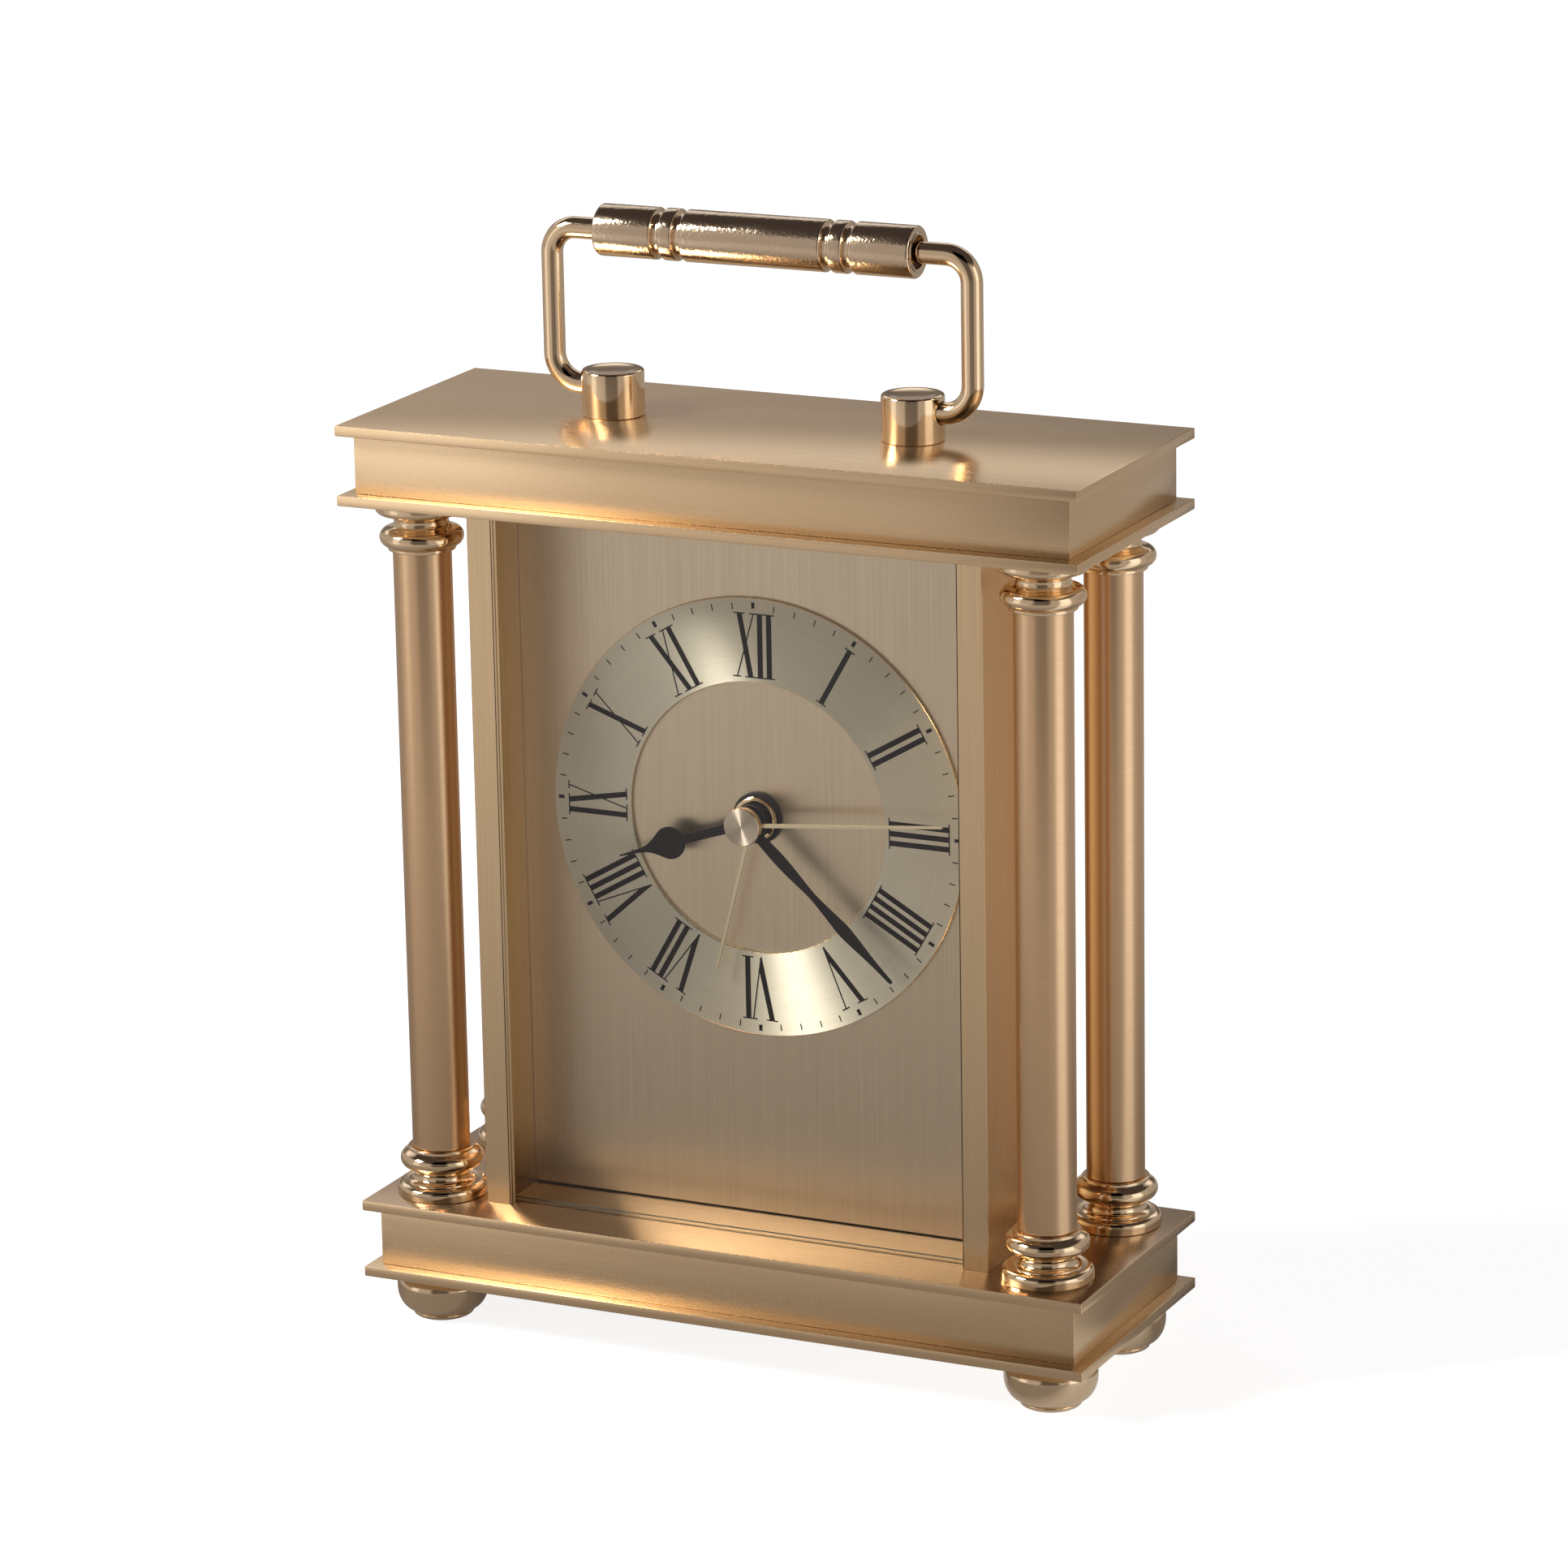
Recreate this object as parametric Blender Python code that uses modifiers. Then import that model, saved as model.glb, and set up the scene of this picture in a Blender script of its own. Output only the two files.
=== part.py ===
"""Four-column brass carriage clock with a quartz alarm movement.

Axes: +X to the right of someone facing the dial, +Y to the back, +Z up.
Origin: on the table, under the middle of the clock. Units are metres; lengths below are
written in millimetres and multiplied by MM.
"""

import math

import bmesh
import bpy
from mathutils import Matrix, Vector

MM = 0.001

# ---------------------------------------------------------------- driving dimensions (mm)
GAP = 0.3  # left between pieces that touch
SEAM = 0.2  # the same, where a plate rests on a block and the joint shows

PLATE_WIDTH = 127.0
PLATE_DEPTH = 47.2
PLATE_THICK = 1.7
BLOCK_INSET = 2.2
BLOCK_HEIGHT = 9.6
FOOT_HEIGHT = 8.0
COLUMN_ZONE = 116.0

COLUMN_X = 53.7
COLUMN_Y = 13.9
FOOT_X = 54.2
FOOT_Y = 14.0
SHAFT_RADIUS = 4.7
ROD_RADIUS = 1.5
COLUMN_END_HEIGHT = 8.1

CASE_HALF_WIDTH = 44.5
CASE_WALL_X = 42.0  # inner face of the side walls
CASE_LIP_X = 40.0  # inner edge of the front lips
CASE_HALF_DEPTH = 16.0
LIP_THICK = 1.8
GLASS_FRONT_Y = -13.9
GLASS_THICK = 1.7
DIAL_FRONT_Y = -3.9
DIAL_THICK = 1.0
BACK_PANEL_Y = 14.3
BACK_PANEL_THICK = 1.2

DIAL_Z = 87.4  # height of the hands' axis
RING_OUTER = 36.3
RING_INNER = 22.3
RING_THICK = 0.4

HANDLE_X = 26.0
POST_RADIUS = 5.0
POST_HEIGHT = 7.4
PIVOT_HEIGHT = 4.6  # of the bail's axis above the cap
GRIP_HEIGHT = 29.6  # of the grip's axis above the cap
BAIL_X = 36.2
BAIL_RADIUS = 1.75
BAIL_TOP_BEND = 4.2
BAIL_FOOT_BEND = 4.8
GRIP_RADIUS = 4.15
GRIP_HALF = 27.3

MOVEMENT_SIDE = 56.0
MOVEMENT_FRONT_Y = -2.6
MOVEMENT_DEPTH = 16.0
MOVEMENT_WALL = 1.2
BATTERY_RADIUS = 7.1
BATTERY_Z = -20.0  # of the cell's axis, from the hands' axis

# The displayed time, as clockwise angles from twelve in degrees: fourteen seconds past 8:22.
HOUR_ANGLE = 251.1
MINUTE_ANGLE = 133.4
SECOND_ANGLE = 84.5
ALARM_ANGLE = 195.0

# Concentric arbors on the hands' axis: (bore radius, outer radius), from the inside out.
SECOND_ARBOR = 0.45
MINUTE_TUBE = (0.55, 1.0)
HOUR_TUBE = (1.06, 1.5)
ALARM_TUBE = (1.56, 2.0)
BUSHING = (2.06, 2.9)

# ---------------------------------------------------------------- heights that follow
BASE_PLATE_Z = FOOT_HEIGHT
BASE_BLOCK_Z = BASE_PLATE_Z + PLATE_THICK
BASE_TOP_Z = BASE_BLOCK_Z + BLOCK_HEIGHT
FLOOR_Z = BASE_TOP_Z + PLATE_THICK  # what the columns stand on
CORNICE_Z = FLOOR_Z + COLUMN_ZONE
FRIEZE_Z = CORNICE_Z + PLATE_THICK
CAP_Z = FRIEZE_Z + BLOCK_HEIGHT
CAP_TOP_Z = CAP_Z + PLATE_THICK
MOVEMENT_BACK_Y = MOVEMENT_FRONT_Y + MOVEMENT_DEPTH
CORNERS = {
    "front_left": (-1, -1),
    "front_right": (1, -1),
    "rear_left": (-1, 1),
    "rear_right": (1, 1),
}

# name: (red, green, blue), metallic, roughness
FINISHES = {
    "satin_brass": ((0.60, 0.47, 0.27), 1.0, 0.32),
    "dial_brass": ((0.56, 0.46, 0.30), 1.0, 0.38),
    "ring_brass": ((0.72, 0.64, 0.44), 1.0, 0.28),
    "column_brass": ((0.66, 0.45, 0.26), 1.0, 0.30),
    "polished_brass": ((0.80, 0.58, 0.36), 1.0, 0.08),
    "gold_hand": ((0.85, 0.72, 0.48), 1.0, 0.30),
    "black_hand": ((0.02, 0.016, 0.02), 0.0, 0.45),
    "clear_glass": ((0.9, 0.95, 0.95), 0.0, 0.02),
    "steel": ((0.55, 0.55, 0.56), 1.0, 0.35),
    "black_plastic": ((0.02, 0.02, 0.022), 0.0, 0.5),
    "white_plastic": ((0.8, 0.8, 0.76), 0.0, 0.45),
    "copper": ((0.72, 0.32, 0.16), 1.0, 0.35),
    "board_green": ((0.02, 0.16, 0.07), 0.0, 0.5),
    "battery_jacket": ((0.10, 0.11, 0.13), 0.0, 0.35),
}

collections = {}


# ---------------------------------------------------------------- helpers
def clear_scene():
    for obj in list(bpy.data.objects):
        bpy.data.objects.remove(obj, do_unlink=True)


def add_collection(key, name):
    collections[key] = bpy.data.collections.new(name)
    bpy.context.scene.collection.children.link(collections[key])


def finish_material(finish):
    material = bpy.data.materials.get(finish)
    if material is None:
        colour, metallic, roughness = FINISHES[finish]
        material = bpy.data.materials.new(finish)
        material.use_nodes = True
        shader = material.node_tree.nodes["Principled BSDF"]
        shader.inputs["Base Color"].default_value = (*colour, 1.0)
        shader.inputs["Metallic"].default_value = metallic
        shader.inputs["Roughness"].default_value = roughness
    return material


def place(name, data, finish, location, rotation=(0, 0, 0)):
    """Puts data in the scene as the piece called name, or as a cutter where finish is None."""
    obj = bpy.data.objects.new(name, data)
    obj.location = Vector(location) * MM
    obj.rotation_euler = rotation
    if finish is None:
        collections["cutters"].objects.link(obj)
        obj.hide_render = True
        obj.display_type = "WIRE"
    else:
        data.materials.append(finish_material(finish))
        collections["clock"].objects.link(obj)
    return obj


def mesh_from(name, build, smooth=False):
    """A mesh filled by build(bm), with its rounded faces smooth where asked."""
    bm = bmesh.new()
    build(bm)
    mesh = bpy.data.meshes.new(name)
    bm.to_mesh(mesh)
    bm.free()
    if smooth:
        mesh.shade_smooth()
        mesh.set_sharp_from_angle(angle=math.radians(35))
    return mesh


def box(name, finish, low, high, bevel=0.0):
    """A box between two corners, with its edges broken by bevel."""
    low, high = Vector(low), Vector(high)
    scale = Matrix.Diagonal((*((high - low) * MM), 1.0))
    mesh = mesh_from(name, lambda bm: bmesh.ops.create_cube(bm, size=1.0, matrix=scale))
    obj = place(name, mesh, finish, (low + high) / 2)
    if bevel:
        edge = obj.modifiers.new("edges", "BEVEL")
        edge.width = bevel * MM
        edge.segments = 1
    return obj


def rod(name, finish, radius, ends, axis="Z", segments=24, at=(0, 0)):
    """A plain cylinder along an axis between two positions; at is its place across that axis."""
    low, high = ends
    across = {"X": (0, at[0], at[1]), "Y": (at[0], 0, at[1]), "Z": (at[0], at[1], 0)}[axis]
    along = {"X": (1, 0, 0), "Y": (0, 1, 0), "Z": (0, 0, 1)}[axis]
    turn = {"X": (0, math.pi / 2, 0), "Y": (-math.pi / 2, 0, 0), "Z": (0, 0, 0)}[axis]

    def build(bm):
        bmesh.ops.create_cone(
            bm,
            cap_ends=True,
            segments=segments,
            radius1=radius * MM,
            radius2=radius * MM,
            depth=(high - low) * MM,
        )

    middle = Vector(across) + Vector(along) * (low + high) / 2
    return place(name, mesh_from(name, build, smooth=True), finish, middle, turn)


def turned_mesh(name, profile):
    """Profile points (radius, height) in mm, down the outer side from top to bottom."""

    def build(bm):
        points = [bm.verts.new((radius * MM, 0, height * MM)) for radius, height in profile]
        for first, second in zip(points, points[1:]):
            bm.edges.new((first, second))
        if profile[0][0] > 0:
            bm.edges.new((points[-1], points[0]))

    return mesh_from(name, build)


def turn(obj, segments):
    """Revolves the object's profile about its own Z axis."""
    screw = obj.modifiers.new("turned", "SCREW")
    screw.axis = "Z"
    screw.steps = screw.render_steps = segments
    screw.use_smooth_shade = True
    screw.use_merge_vertices = True
    screw.merge_threshold = 0.00002
    return obj


def turned(name, finish, profile, location, segments=32, rotation=(0, 0, 0)):
    """A lathe-turned piece, revolved about its own Z axis."""
    return turn(place(name, turned_mesh(name, profile), finish, location, rotation), segments)


def arc(centre, radius, start, end, steps):
    """Points (radius, height) round an arc in the profile plane; angles in degrees from +radius."""
    points = []
    for step in range(steps + 1):
        angle = math.radians(start + (end - start) * step / steps)
        points.append((centre[0] + radius * math.cos(angle), centre[1] + radius * math.sin(angle)))
    return points


def boolean(obj, operation, *others):
    for other in others:
        cut = obj.modifiers.new(operation.lower(), "BOOLEAN")
        cut.operation = operation
        cut.object = other
    return obj


def flat_piece(name, finish, outline, thick, location, rotation=(0, 0, 0)):
    """A flat outline of (x, y) points in mm, thickened about its own plane, as a mesh object."""
    curve = bpy.data.curves.new(name + "_outline", "CURVE")
    curve.dimensions = "2D"
    curve.fill_mode = "BOTH"
    curve.extrude = thick / 2 * MM
    spline = curve.splines.new("POLY")
    spline.points.add(len(outline) - 1)
    for point, (x, y) in zip(spline.points, outline):
        point.co = (x * MM, y * MM, 0, 1)
    spline.use_cyclic_u = True
    guide = bpy.data.objects.new(name + "_outline", curve)
    bpy.context.scene.collection.objects.link(guide)
    mesh = solid_from_curve(guide, name)
    return place(name, mesh, finish, location, rotation)


def solid_from_curve(guide, name):
    """The mesh of a curve object, its loose caps welded on; the curve is removed."""
    evaluated = guide.evaluated_get(bpy.context.evaluated_depsgraph_get())
    mesh = bpy.data.meshes.new_from_object(evaluated)
    mesh.name = name
    bm = bmesh.new()
    bm.from_mesh(mesh)
    bmesh.ops.remove_doubles(bm, verts=bm.verts, dist=1e-6)
    bm.to_mesh(mesh)
    bm.free()
    mesh.materials.clear()
    curve = guide.data
    bpy.data.objects.remove(guide)
    bpy.data.curves.remove(curve)
    return mesh


def empty(name, location):
    """The parent of a group of moving pieces, on their joint's axis."""
    pivot = bpy.data.objects.new(name, None)
    pivot.location = Vector(location) * MM
    collections["clock"].objects.link(pivot)
    return pivot


def attach(pivot, *pieces):
    bpy.context.view_layer.update()
    for piece in pieces:
        piece.parent = pivot
        piece.matrix_parent_inverse = pivot.matrix_world.inverted()


# ---------------------------------------------------------------- base, cap and columns
def build_plates_and_blocks():
    """Four equal plates, with a block between each pair."""
    half_x, half_y = PLATE_WIDTH / 2, PLATE_DEPTH / 2
    pieces = {}
    for name, z in (
        ("base_bottom_plate", BASE_PLATE_Z),
        ("base_top_plate", BASE_TOP_Z),
        ("cornice_plate", CORNICE_Z),
        ("cap_plate", CAP_Z),
    ):
        low, high = (-half_x, -half_y, z), (half_x, half_y, z + PLATE_THICK)
        pieces[name] = box(name, "satin_brass", low, high, bevel=0.2)
    half_x, half_y = half_x - BLOCK_INSET, half_y - BLOCK_INSET
    for name, z in (("base_block", BASE_BLOCK_Z), ("frieze_block", FRIEZE_Z)):
        low, high = (-half_x, -half_y, z + SEAM), (half_x, half_y, z + BLOCK_HEIGHT - SEAM)
        pieces[name] = box(name, "satin_brass", low, high)
    return pieces


def foot_profile():
    """A bun: widest near the top, drawn in to a small ring at the table."""
    crown = arc((5.6, 5.4), 1.9, 75, 0, 2)
    bowl = []
    for degrees in (25, 50, 85):
        angle = math.radians(degrees)
        bowl.append((4.9 + 2.6 * math.cos(angle), 5.0 - 3.9 * math.sin(angle)))
    ring = [(4.8, 0.35), (4.45, 0.0), (0.0, 0.0)]
    return [(0.0, FOOT_HEIGHT - GAP), (5.7, FOOT_HEIGHT - GAP)] + crown + bowl + ring


def build_feet():
    mesh = turned_mesh("foot", foot_profile())
    mesh.materials.append(finish_material("polished_brass"))
    for corner, (side_x, side_y) in CORNERS.items():
        turn(place_shared("foot_" + corner, mesh, (side_x * FOOT_X, side_y * FOOT_Y, 0)), 16)


def column_end_profile():
    """Disc, hollow neck, torus and fillet, read from the shaft down to the plate; bored for the rod."""
    bore = ROD_RADIUS + GAP
    fillet = [(SHAFT_RADIUS + 0.75, COLUMN_END_HEIGHT), (SHAFT_RADIUS + 0.75, 7.45)]
    torus = arc((5.25, 6.0), 1.5, 70, -70, 4)
    neck = [(4.35, 3.9), (4.5, 3.0), (5.3, 2.3)]
    disc = arc((6.45, 1.15), 0.9, 70, 0, 2) + [(7.35, GAP)]
    return [(bore, COLUMN_END_HEIGHT)] + fillet + torus + neck + disc + [(bore, GAP)]


def build_columns(pieces):
    """A turned base and capital, a satin shaft, and the tie rod that clamps them, at each corner."""
    end_mesh = turned_mesh("column_end", column_end_profile())
    end_mesh.materials.append(finish_material("polished_brass"))
    low = FLOOR_Z + COLUMN_END_HEIGHT + GAP
    high = CORNICE_Z - COLUMN_END_HEIGHT - GAP
    bore = ROD_RADIUS + GAP
    shaft = [(bore, high - low), (SHAFT_RADIUS, high - low), (SHAFT_RADIUS, 0.0), (bore, 0.0)]
    grip = BLOCK_HEIGHT * 0.6  # thread in each block
    for corner, (side_x, side_y) in CORNERS.items():
        x, y = side_x * COLUMN_X, side_y * COLUMN_Y
        base = place_shared("column_base_" + corner, end_mesh, (x, y, FLOOR_Z))
        capital = place_shared("column_capital_" + corner, end_mesh, (x, y, CORNICE_Z), (math.pi, 0, 0))
        turn(base, 16)
        turn(capital, 16)
        turned("column_shaft_" + corner, "column_brass", shaft, (x, y, low), segments=16)
        ends = (BASE_TOP_Z - grip, FRIEZE_Z + grip)
        rod("tie_rod_" + corner, "steel", ROD_RADIUS, ends, segments=12, at=(x, y))
        hole_ends = (ends[0] - GAP, ends[1] + GAP)
        hole = rod("tie_rod_hole_" + corner, None, bore, hole_ends, segments=12, at=(x, y))
        for name in ("base_block", "base_top_plate", "cornice_plate", "frieze_block"):
            boolean(pieces[name], "DIFFERENCE", hole)


def place_shared(name, mesh, location, rotation=(0, 0, 0)):
    """Another copy of a mesh that already has its material."""
    obj = bpy.data.objects.new(name, mesh)
    obj.location = Vector(location) * MM
    obj.rotation_euler = rotation
    collections["clock"].objects.link(obj)
    return obj


# ---------------------------------------------------------------- case
def build_case():
    """Two L-shaped side extrusions, the back panel, the glass and the dial."""
    low, high = FLOOR_Z + GAP, CORNICE_Z - GAP
    middle = (low + high) / 2
    for name, side in (("case_side_left", -1), ("case_side_right", 1)):
        outline = [
            (side * CASE_LIP_X, -CASE_HALF_DEPTH),
            (side * CASE_HALF_WIDTH, -CASE_HALF_DEPTH),
            (side * CASE_HALF_WIDTH, CASE_HALF_DEPTH),
            (side * CASE_WALL_X, CASE_HALF_DEPTH),
            (side * CASE_WALL_X, LIP_THICK - CASE_HALF_DEPTH),
            (side * CASE_LIP_X, LIP_THICK - CASE_HALF_DEPTH),
        ]
        flat_piece(name, "satin_brass", outline, high - low, (0, 0, middle))
    inside = CASE_WALL_X - GAP
    opening = MOVEMENT_SIDE / 2 + 0.6
    panel_back = BACK_PANEL_Y + BACK_PANEL_THICK
    back = box("back_panel", "satin_brass", (-inside, BACK_PANEL_Y, low), (inside, panel_back, high))
    window = box(
        "back_window",
        None,
        (-opening, BACK_PANEL_Y - 2, DIAL_Z - opening),
        (opening, panel_back + 2, DIAL_Z + opening),
    )
    boolean(back, "DIFFERENCE", window)
    glass_back = GLASS_FRONT_Y + GLASS_THICK
    box("glass_pane", "clear_glass", (-inside, GLASS_FRONT_Y, low), (inside, glass_back, high))
    dial_back = DIAL_FRONT_Y + DIAL_THICK
    dial = box("dial_plate", "dial_brass", (-inside, DIAL_FRONT_Y, low), (inside, dial_back, high))
    hole_ends = (DIAL_FRONT_Y - 2, DIAL_FRONT_Y + 3)
    hole = rod("dial_hole", None, BUSHING[1] + GAP, hole_ends, "Y", 24, (0, DIAL_Z))
    boolean(dial, "DIFFERENCE", hole)
    front = DIAL_FRONT_Y - SEAM
    ring = [
        (RING_INNER, RING_THICK),
        (RING_OUTER, RING_THICK),
        (RING_OUTER, 0.0),
        (RING_INNER, 0.0),
    ]
    turned("chapter_ring", "ring_brass", ring, (0, front, DIAL_Z), 60, (math.pi / 2, 0, 0))


# ---------------------------------------------------------------- handle
def grip_profile():
    """Half of the grip's outer side, from its end to the middle: chamfer, then ring between two grooves."""
    groove_middle, ring_half, groove_wide, groove_deep = 14.6, 1.2, 1.3, 0.7
    edge = GRIP_RADIUS - 0.55
    points = [(edge, GRIP_HALF), (GRIP_RADIUS, GRIP_HALF - 0.55)]
    for start in (groove_middle + ring_half + groove_wide, groove_middle - ring_half):
        points += [
            (GRIP_RADIUS, start),
            (GRIP_RADIUS - groove_deep, start - 0.35),
            (GRIP_RADIUS - groove_deep, start - groove_wide + 0.35),
            (GRIP_RADIUS, start - groove_wide),
        ]
    return points


def bail_route():
    """Centre line from one post to the other: in, up, over through the grip, down and in again."""
    foot, top = PIVOT_HEIGHT, GRIP_HEIGHT
    inner = HANDLE_X + POST_RADIUS - 3.2
    half = [(inner, foot), (BAIL_X - BAIL_FOOT_BEND, foot)]
    for step in range(1, 6):
        angle = math.radians(-90 + 90 * step / 5)
        half.append(
            (
                BAIL_X - BAIL_FOOT_BEND + BAIL_FOOT_BEND * math.cos(angle),
                foot + BAIL_FOOT_BEND + BAIL_FOOT_BEND * math.sin(angle),
            )
        )
    for step in range(6):
        angle = math.radians(90 * step / 5)
        half.append(
            (
                BAIL_X - BAIL_TOP_BEND + BAIL_TOP_BEND * math.cos(angle),
                top - BAIL_TOP_BEND + BAIL_TOP_BEND * math.sin(angle),
            )
        )
    return half + [(-x, z) for x, z in reversed(half)]


def build_handle():
    """Two posts on the cap, and the bail with its grip, hinged in them."""
    hole = rod("bail_holes", None, BAIL_RADIUS + GAP, (-40, 40), "X", 16, (0, CAP_TOP_Z + PIVOT_HEIGHT))
    core = box("bail_hole_stop", None, (-HANDLE_X - 1.2, -6, CAP_TOP_Z), (HANDLE_X + 1.2, 6, CAP_TOP_Z + 9))
    boolean(hole, "DIFFERENCE", core)
    post = [
        (0.0, POST_HEIGHT),
        (POST_RADIUS - 0.5, POST_HEIGHT),
        (POST_RADIUS, POST_HEIGHT - 0.5),
        (POST_RADIUS, SEAM),
        (0.0, SEAM),
    ]
    for name, side in (("handle_post_left", -1), ("handle_post_right", 1)):
        piece = turned(name, "polished_brass", post, (side * HANDLE_X, 0, CAP_TOP_Z), 32)
        boolean(piece, "DIFFERENCE", hole)

    curve = bpy.data.curves.new("bail_route", "CURVE")
    curve.dimensions = "3D"
    curve.bevel_depth = BAIL_RADIUS * MM
    curve.bevel_resolution = 3
    curve.use_fill_caps = True
    spline = curve.splines.new("POLY")
    route = bail_route()
    spline.points.add(len(route) - 1)
    for point, (x, z) in zip(spline.points, route):
        point.co = (x * MM, 0, (z - PIVOT_HEIGHT) * MM, 1)
    bail = place("handle_bail", curve, "polished_brass", (0, 0, CAP_TOP_Z + PIVOT_HEIGHT))

    half = grip_profile()
    bore = BAIL_RADIUS + GAP
    outer = half + [(radius, -height) for radius, height in reversed(half)]
    profile = [(bore, GRIP_HALF)] + outer + [(bore, -GRIP_HALF)]
    middle = (0, 0, CAP_TOP_Z + GRIP_HEIGHT)
    grip = turned("handle_grip", "polished_brass", profile, middle, 20, (0, math.pi / 2, 0))
    pivot = empty("handle_pivot", (0, 0, CAP_TOP_Z + PIVOT_HEIGHT))
    attach(pivot, bail, grip)


# ---------------------------------------------------------------- movement: housing and electrics
def build_movement_housing():
    """The moulded tray with its bushing, and the cover over the gear chamber."""
    half = MOVEMENT_SIDE / 2
    front, back, wall = MOVEMENT_FRONT_Y, MOVEMENT_BACK_Y, MOVEMENT_WALL
    chamber_low = BATTERY_Z + BATTERY_RADIUS + 0.4 + wall
    tray = box("movement_case", "black_plastic", (-half, front, DIAL_Z - half), (half, back, DIAL_Z + half))
    chamber = box(
        "gear_chamber",
        None,
        (-half + wall, front + wall, DIAL_Z + chamber_low),
        (half - wall, back + 2, DIAL_Z + half - wall),
    )
    trough = box(
        "battery_trough",
        None,
        (-half + wall, front + wall, DIAL_Z - half + wall / 2),
        (half - wall, back + 2, DIAL_Z + chamber_low - wall),
    )
    bushing_ends = (DIAL_FRONT_Y - 1.9, front + wall / 2)
    bushing = rod("bushing", None, BUSHING[1], bushing_ends, "Y", 24, (0, DIAL_Z))
    bore = rod("bushing_bore", None, BUSHING[0], (DIAL_FRONT_Y - 4, front + 4), "Y", 24, (0, DIAL_Z))
    boolean(tray, "DIFFERENCE", chamber, trough)
    boolean(tray, "UNION", bushing)
    boolean(tray, "DIFFERENCE", bore)

    cover = box(
        "movement_cover",
        "black_plastic",
        (-half + wall + GAP, back - wall, DIAL_Z + chamber_low + GAP),
        (half - wall - GAP, back, DIAL_Z + half - wall - GAP),
    )
    for name, (x, z) in (("time_shaft_hole", MOTION_AXIS), ("alarm_shaft_hole", ALARM_SET_AXIS)):
        ends = (back - wall - 1, back + 1)
        boolean(cover, "DIFFERENCE", rod(name, None, 0.8 + GAP, ends, "Y", 16, (x, DIAL_Z + z)))
    x, z = SWITCH_AT
    slot = box(
        "switch_slot",
        None,
        (x - 1.2 - GAP, back - wall - 1, DIAL_Z + z - 1.2 - SWITCH_TRAVEL - GAP),
        (x + 1.2 + GAP, back + 1, DIAL_Z + z + 1.2 + GAP),
    )
    boolean(cover, "DIFFERENCE", slot)


def build_battery():
    """An AA cell lying in the trough, with its contact nub."""
    length, nub = 50.5, 1.2
    profile = [
        (0.0, length / 2),
        (2.6, length / 2),
        (2.6, length / 2 - nub),
        (BATTERY_RADIUS - 0.4, length / 2 - nub),
        (BATTERY_RADIUS, length / 2 - nub - 0.5),
        (BATTERY_RADIUS, -length / 2 + 0.4),
        (BATTERY_RADIUS - 0.4, -length / 2),
        (0.0, -length / 2),
    ]
    y = MOVEMENT_BACK_Y - GAP - BATTERY_RADIUS
    turned("battery", "battery_jacket", profile, (0, y, DIAL_Z + BATTERY_Z), 24, (0, math.pi / 2, 0))


def build_electrics():
    """Board, stepping motor and buzzer, in the gear chamber."""
    rotor_x, rotor_z = ROTOR_AXIS
    box("circuit_board", "board_green", (-26, 1.0, DIAL_Z + 10), (-11.5, 2.0, DIAL_Z + 26), bevel=0.0)

    low, high = (rotor_x - 5.5, STATOR_Y[0], DIAL_Z + rotor_z - 4.2), (25.5, STATOR_Y[1], DIAL_Z + 25.5)
    stator = box("motor_stator", "steel", low, high)
    window = box(
        "stator_window",
        None,
        (rotor_x - 2.0, STATOR_Y[0] - 1, DIAL_Z + rotor_z + 4.6),
        (22.5, STATOR_Y[1] + 1, DIAL_Z + 22.5),
    )
    ends = (STATOR_Y[0] - 1, STATOR_Y[1] + 1)
    hole = rod("stator_hole", None, 2.9, ends, "Y", 24, (rotor_x, DIAL_Z + rotor_z))
    boolean(stator, "DIFFERENCE", window, hole)

    coil_y, coil_z = sum(STATOR_Y) / 2, DIAL_Z + 24.0
    coil = rod("motor_coil", "copper", 2.6, (rotor_x, 21.5), "X", 20, (coil_y, coil_z))
    passage = box(
        "coil_passage",
        None,
        (rotor_x - 1, STATOR_Y[0] - GAP, coil_z - 1.5 - GAP),
        (24.0, STATOR_Y[1] + GAP, coil_z + 1.5 + GAP),
    )
    boolean(coil, "DIFFERENCE", passage)
    rod("buzzer_disc", "gold_hand", 7.5, (11.0, 11.6), "Y", 24, (-17.5, DIAL_Z + 17.5))


def build_fixing_nut():
    """The round nut that holds the movement against the dial plate."""
    profile = [(3.0, 1.1), (3.4, 1.1), (3.6, 0.9), (3.6, 0.0), (3.0, 0.0)]
    location = (0, DIAL_FRONT_Y - 0.8, DIAL_Z)
    turned("fixing_nut", "polished_brass", profile, location, 24, (math.pi / 2, 0, 0))


# ---------------------------------------------------------------- movement: train
# Axes of the off-centre arbors, (x, z) from the hands' axis.
TRAIN_DISTANCE = 8.1
MOTION_DISTANCE = 9.0
ALARM_DISTANCE = 10.0
INTERMEDIATE_DISTANCE = 6.72
ROTOR_DISTANCE = 5.4


def polar(distance, degrees, start=(0.0, 0.0)):
    angle = math.radians(degrees)
    return (start[0] + distance * math.cos(angle), start[1] + distance * math.sin(angle))


THIRD_AXIS = polar(TRAIN_DISTANCE, 170)
MOTION_AXIS = polar(MOTION_DISTANCE, -10)
ALARM_SET_AXIS = polar(ALARM_DISTANCE, 100)
INTERMEDIATE_AXIS = polar(INTERMEDIATE_DISTANCE, 60)
ROTOR_AXIS = polar(ROTOR_DISTANCE, 45, INTERMEDIATE_AXIS)
STATOR_Y = (6.7, 7.5)
SWITCH_AT = (-21.0, 2.0)
SWITCH_TRAVEL = 3.0

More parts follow.
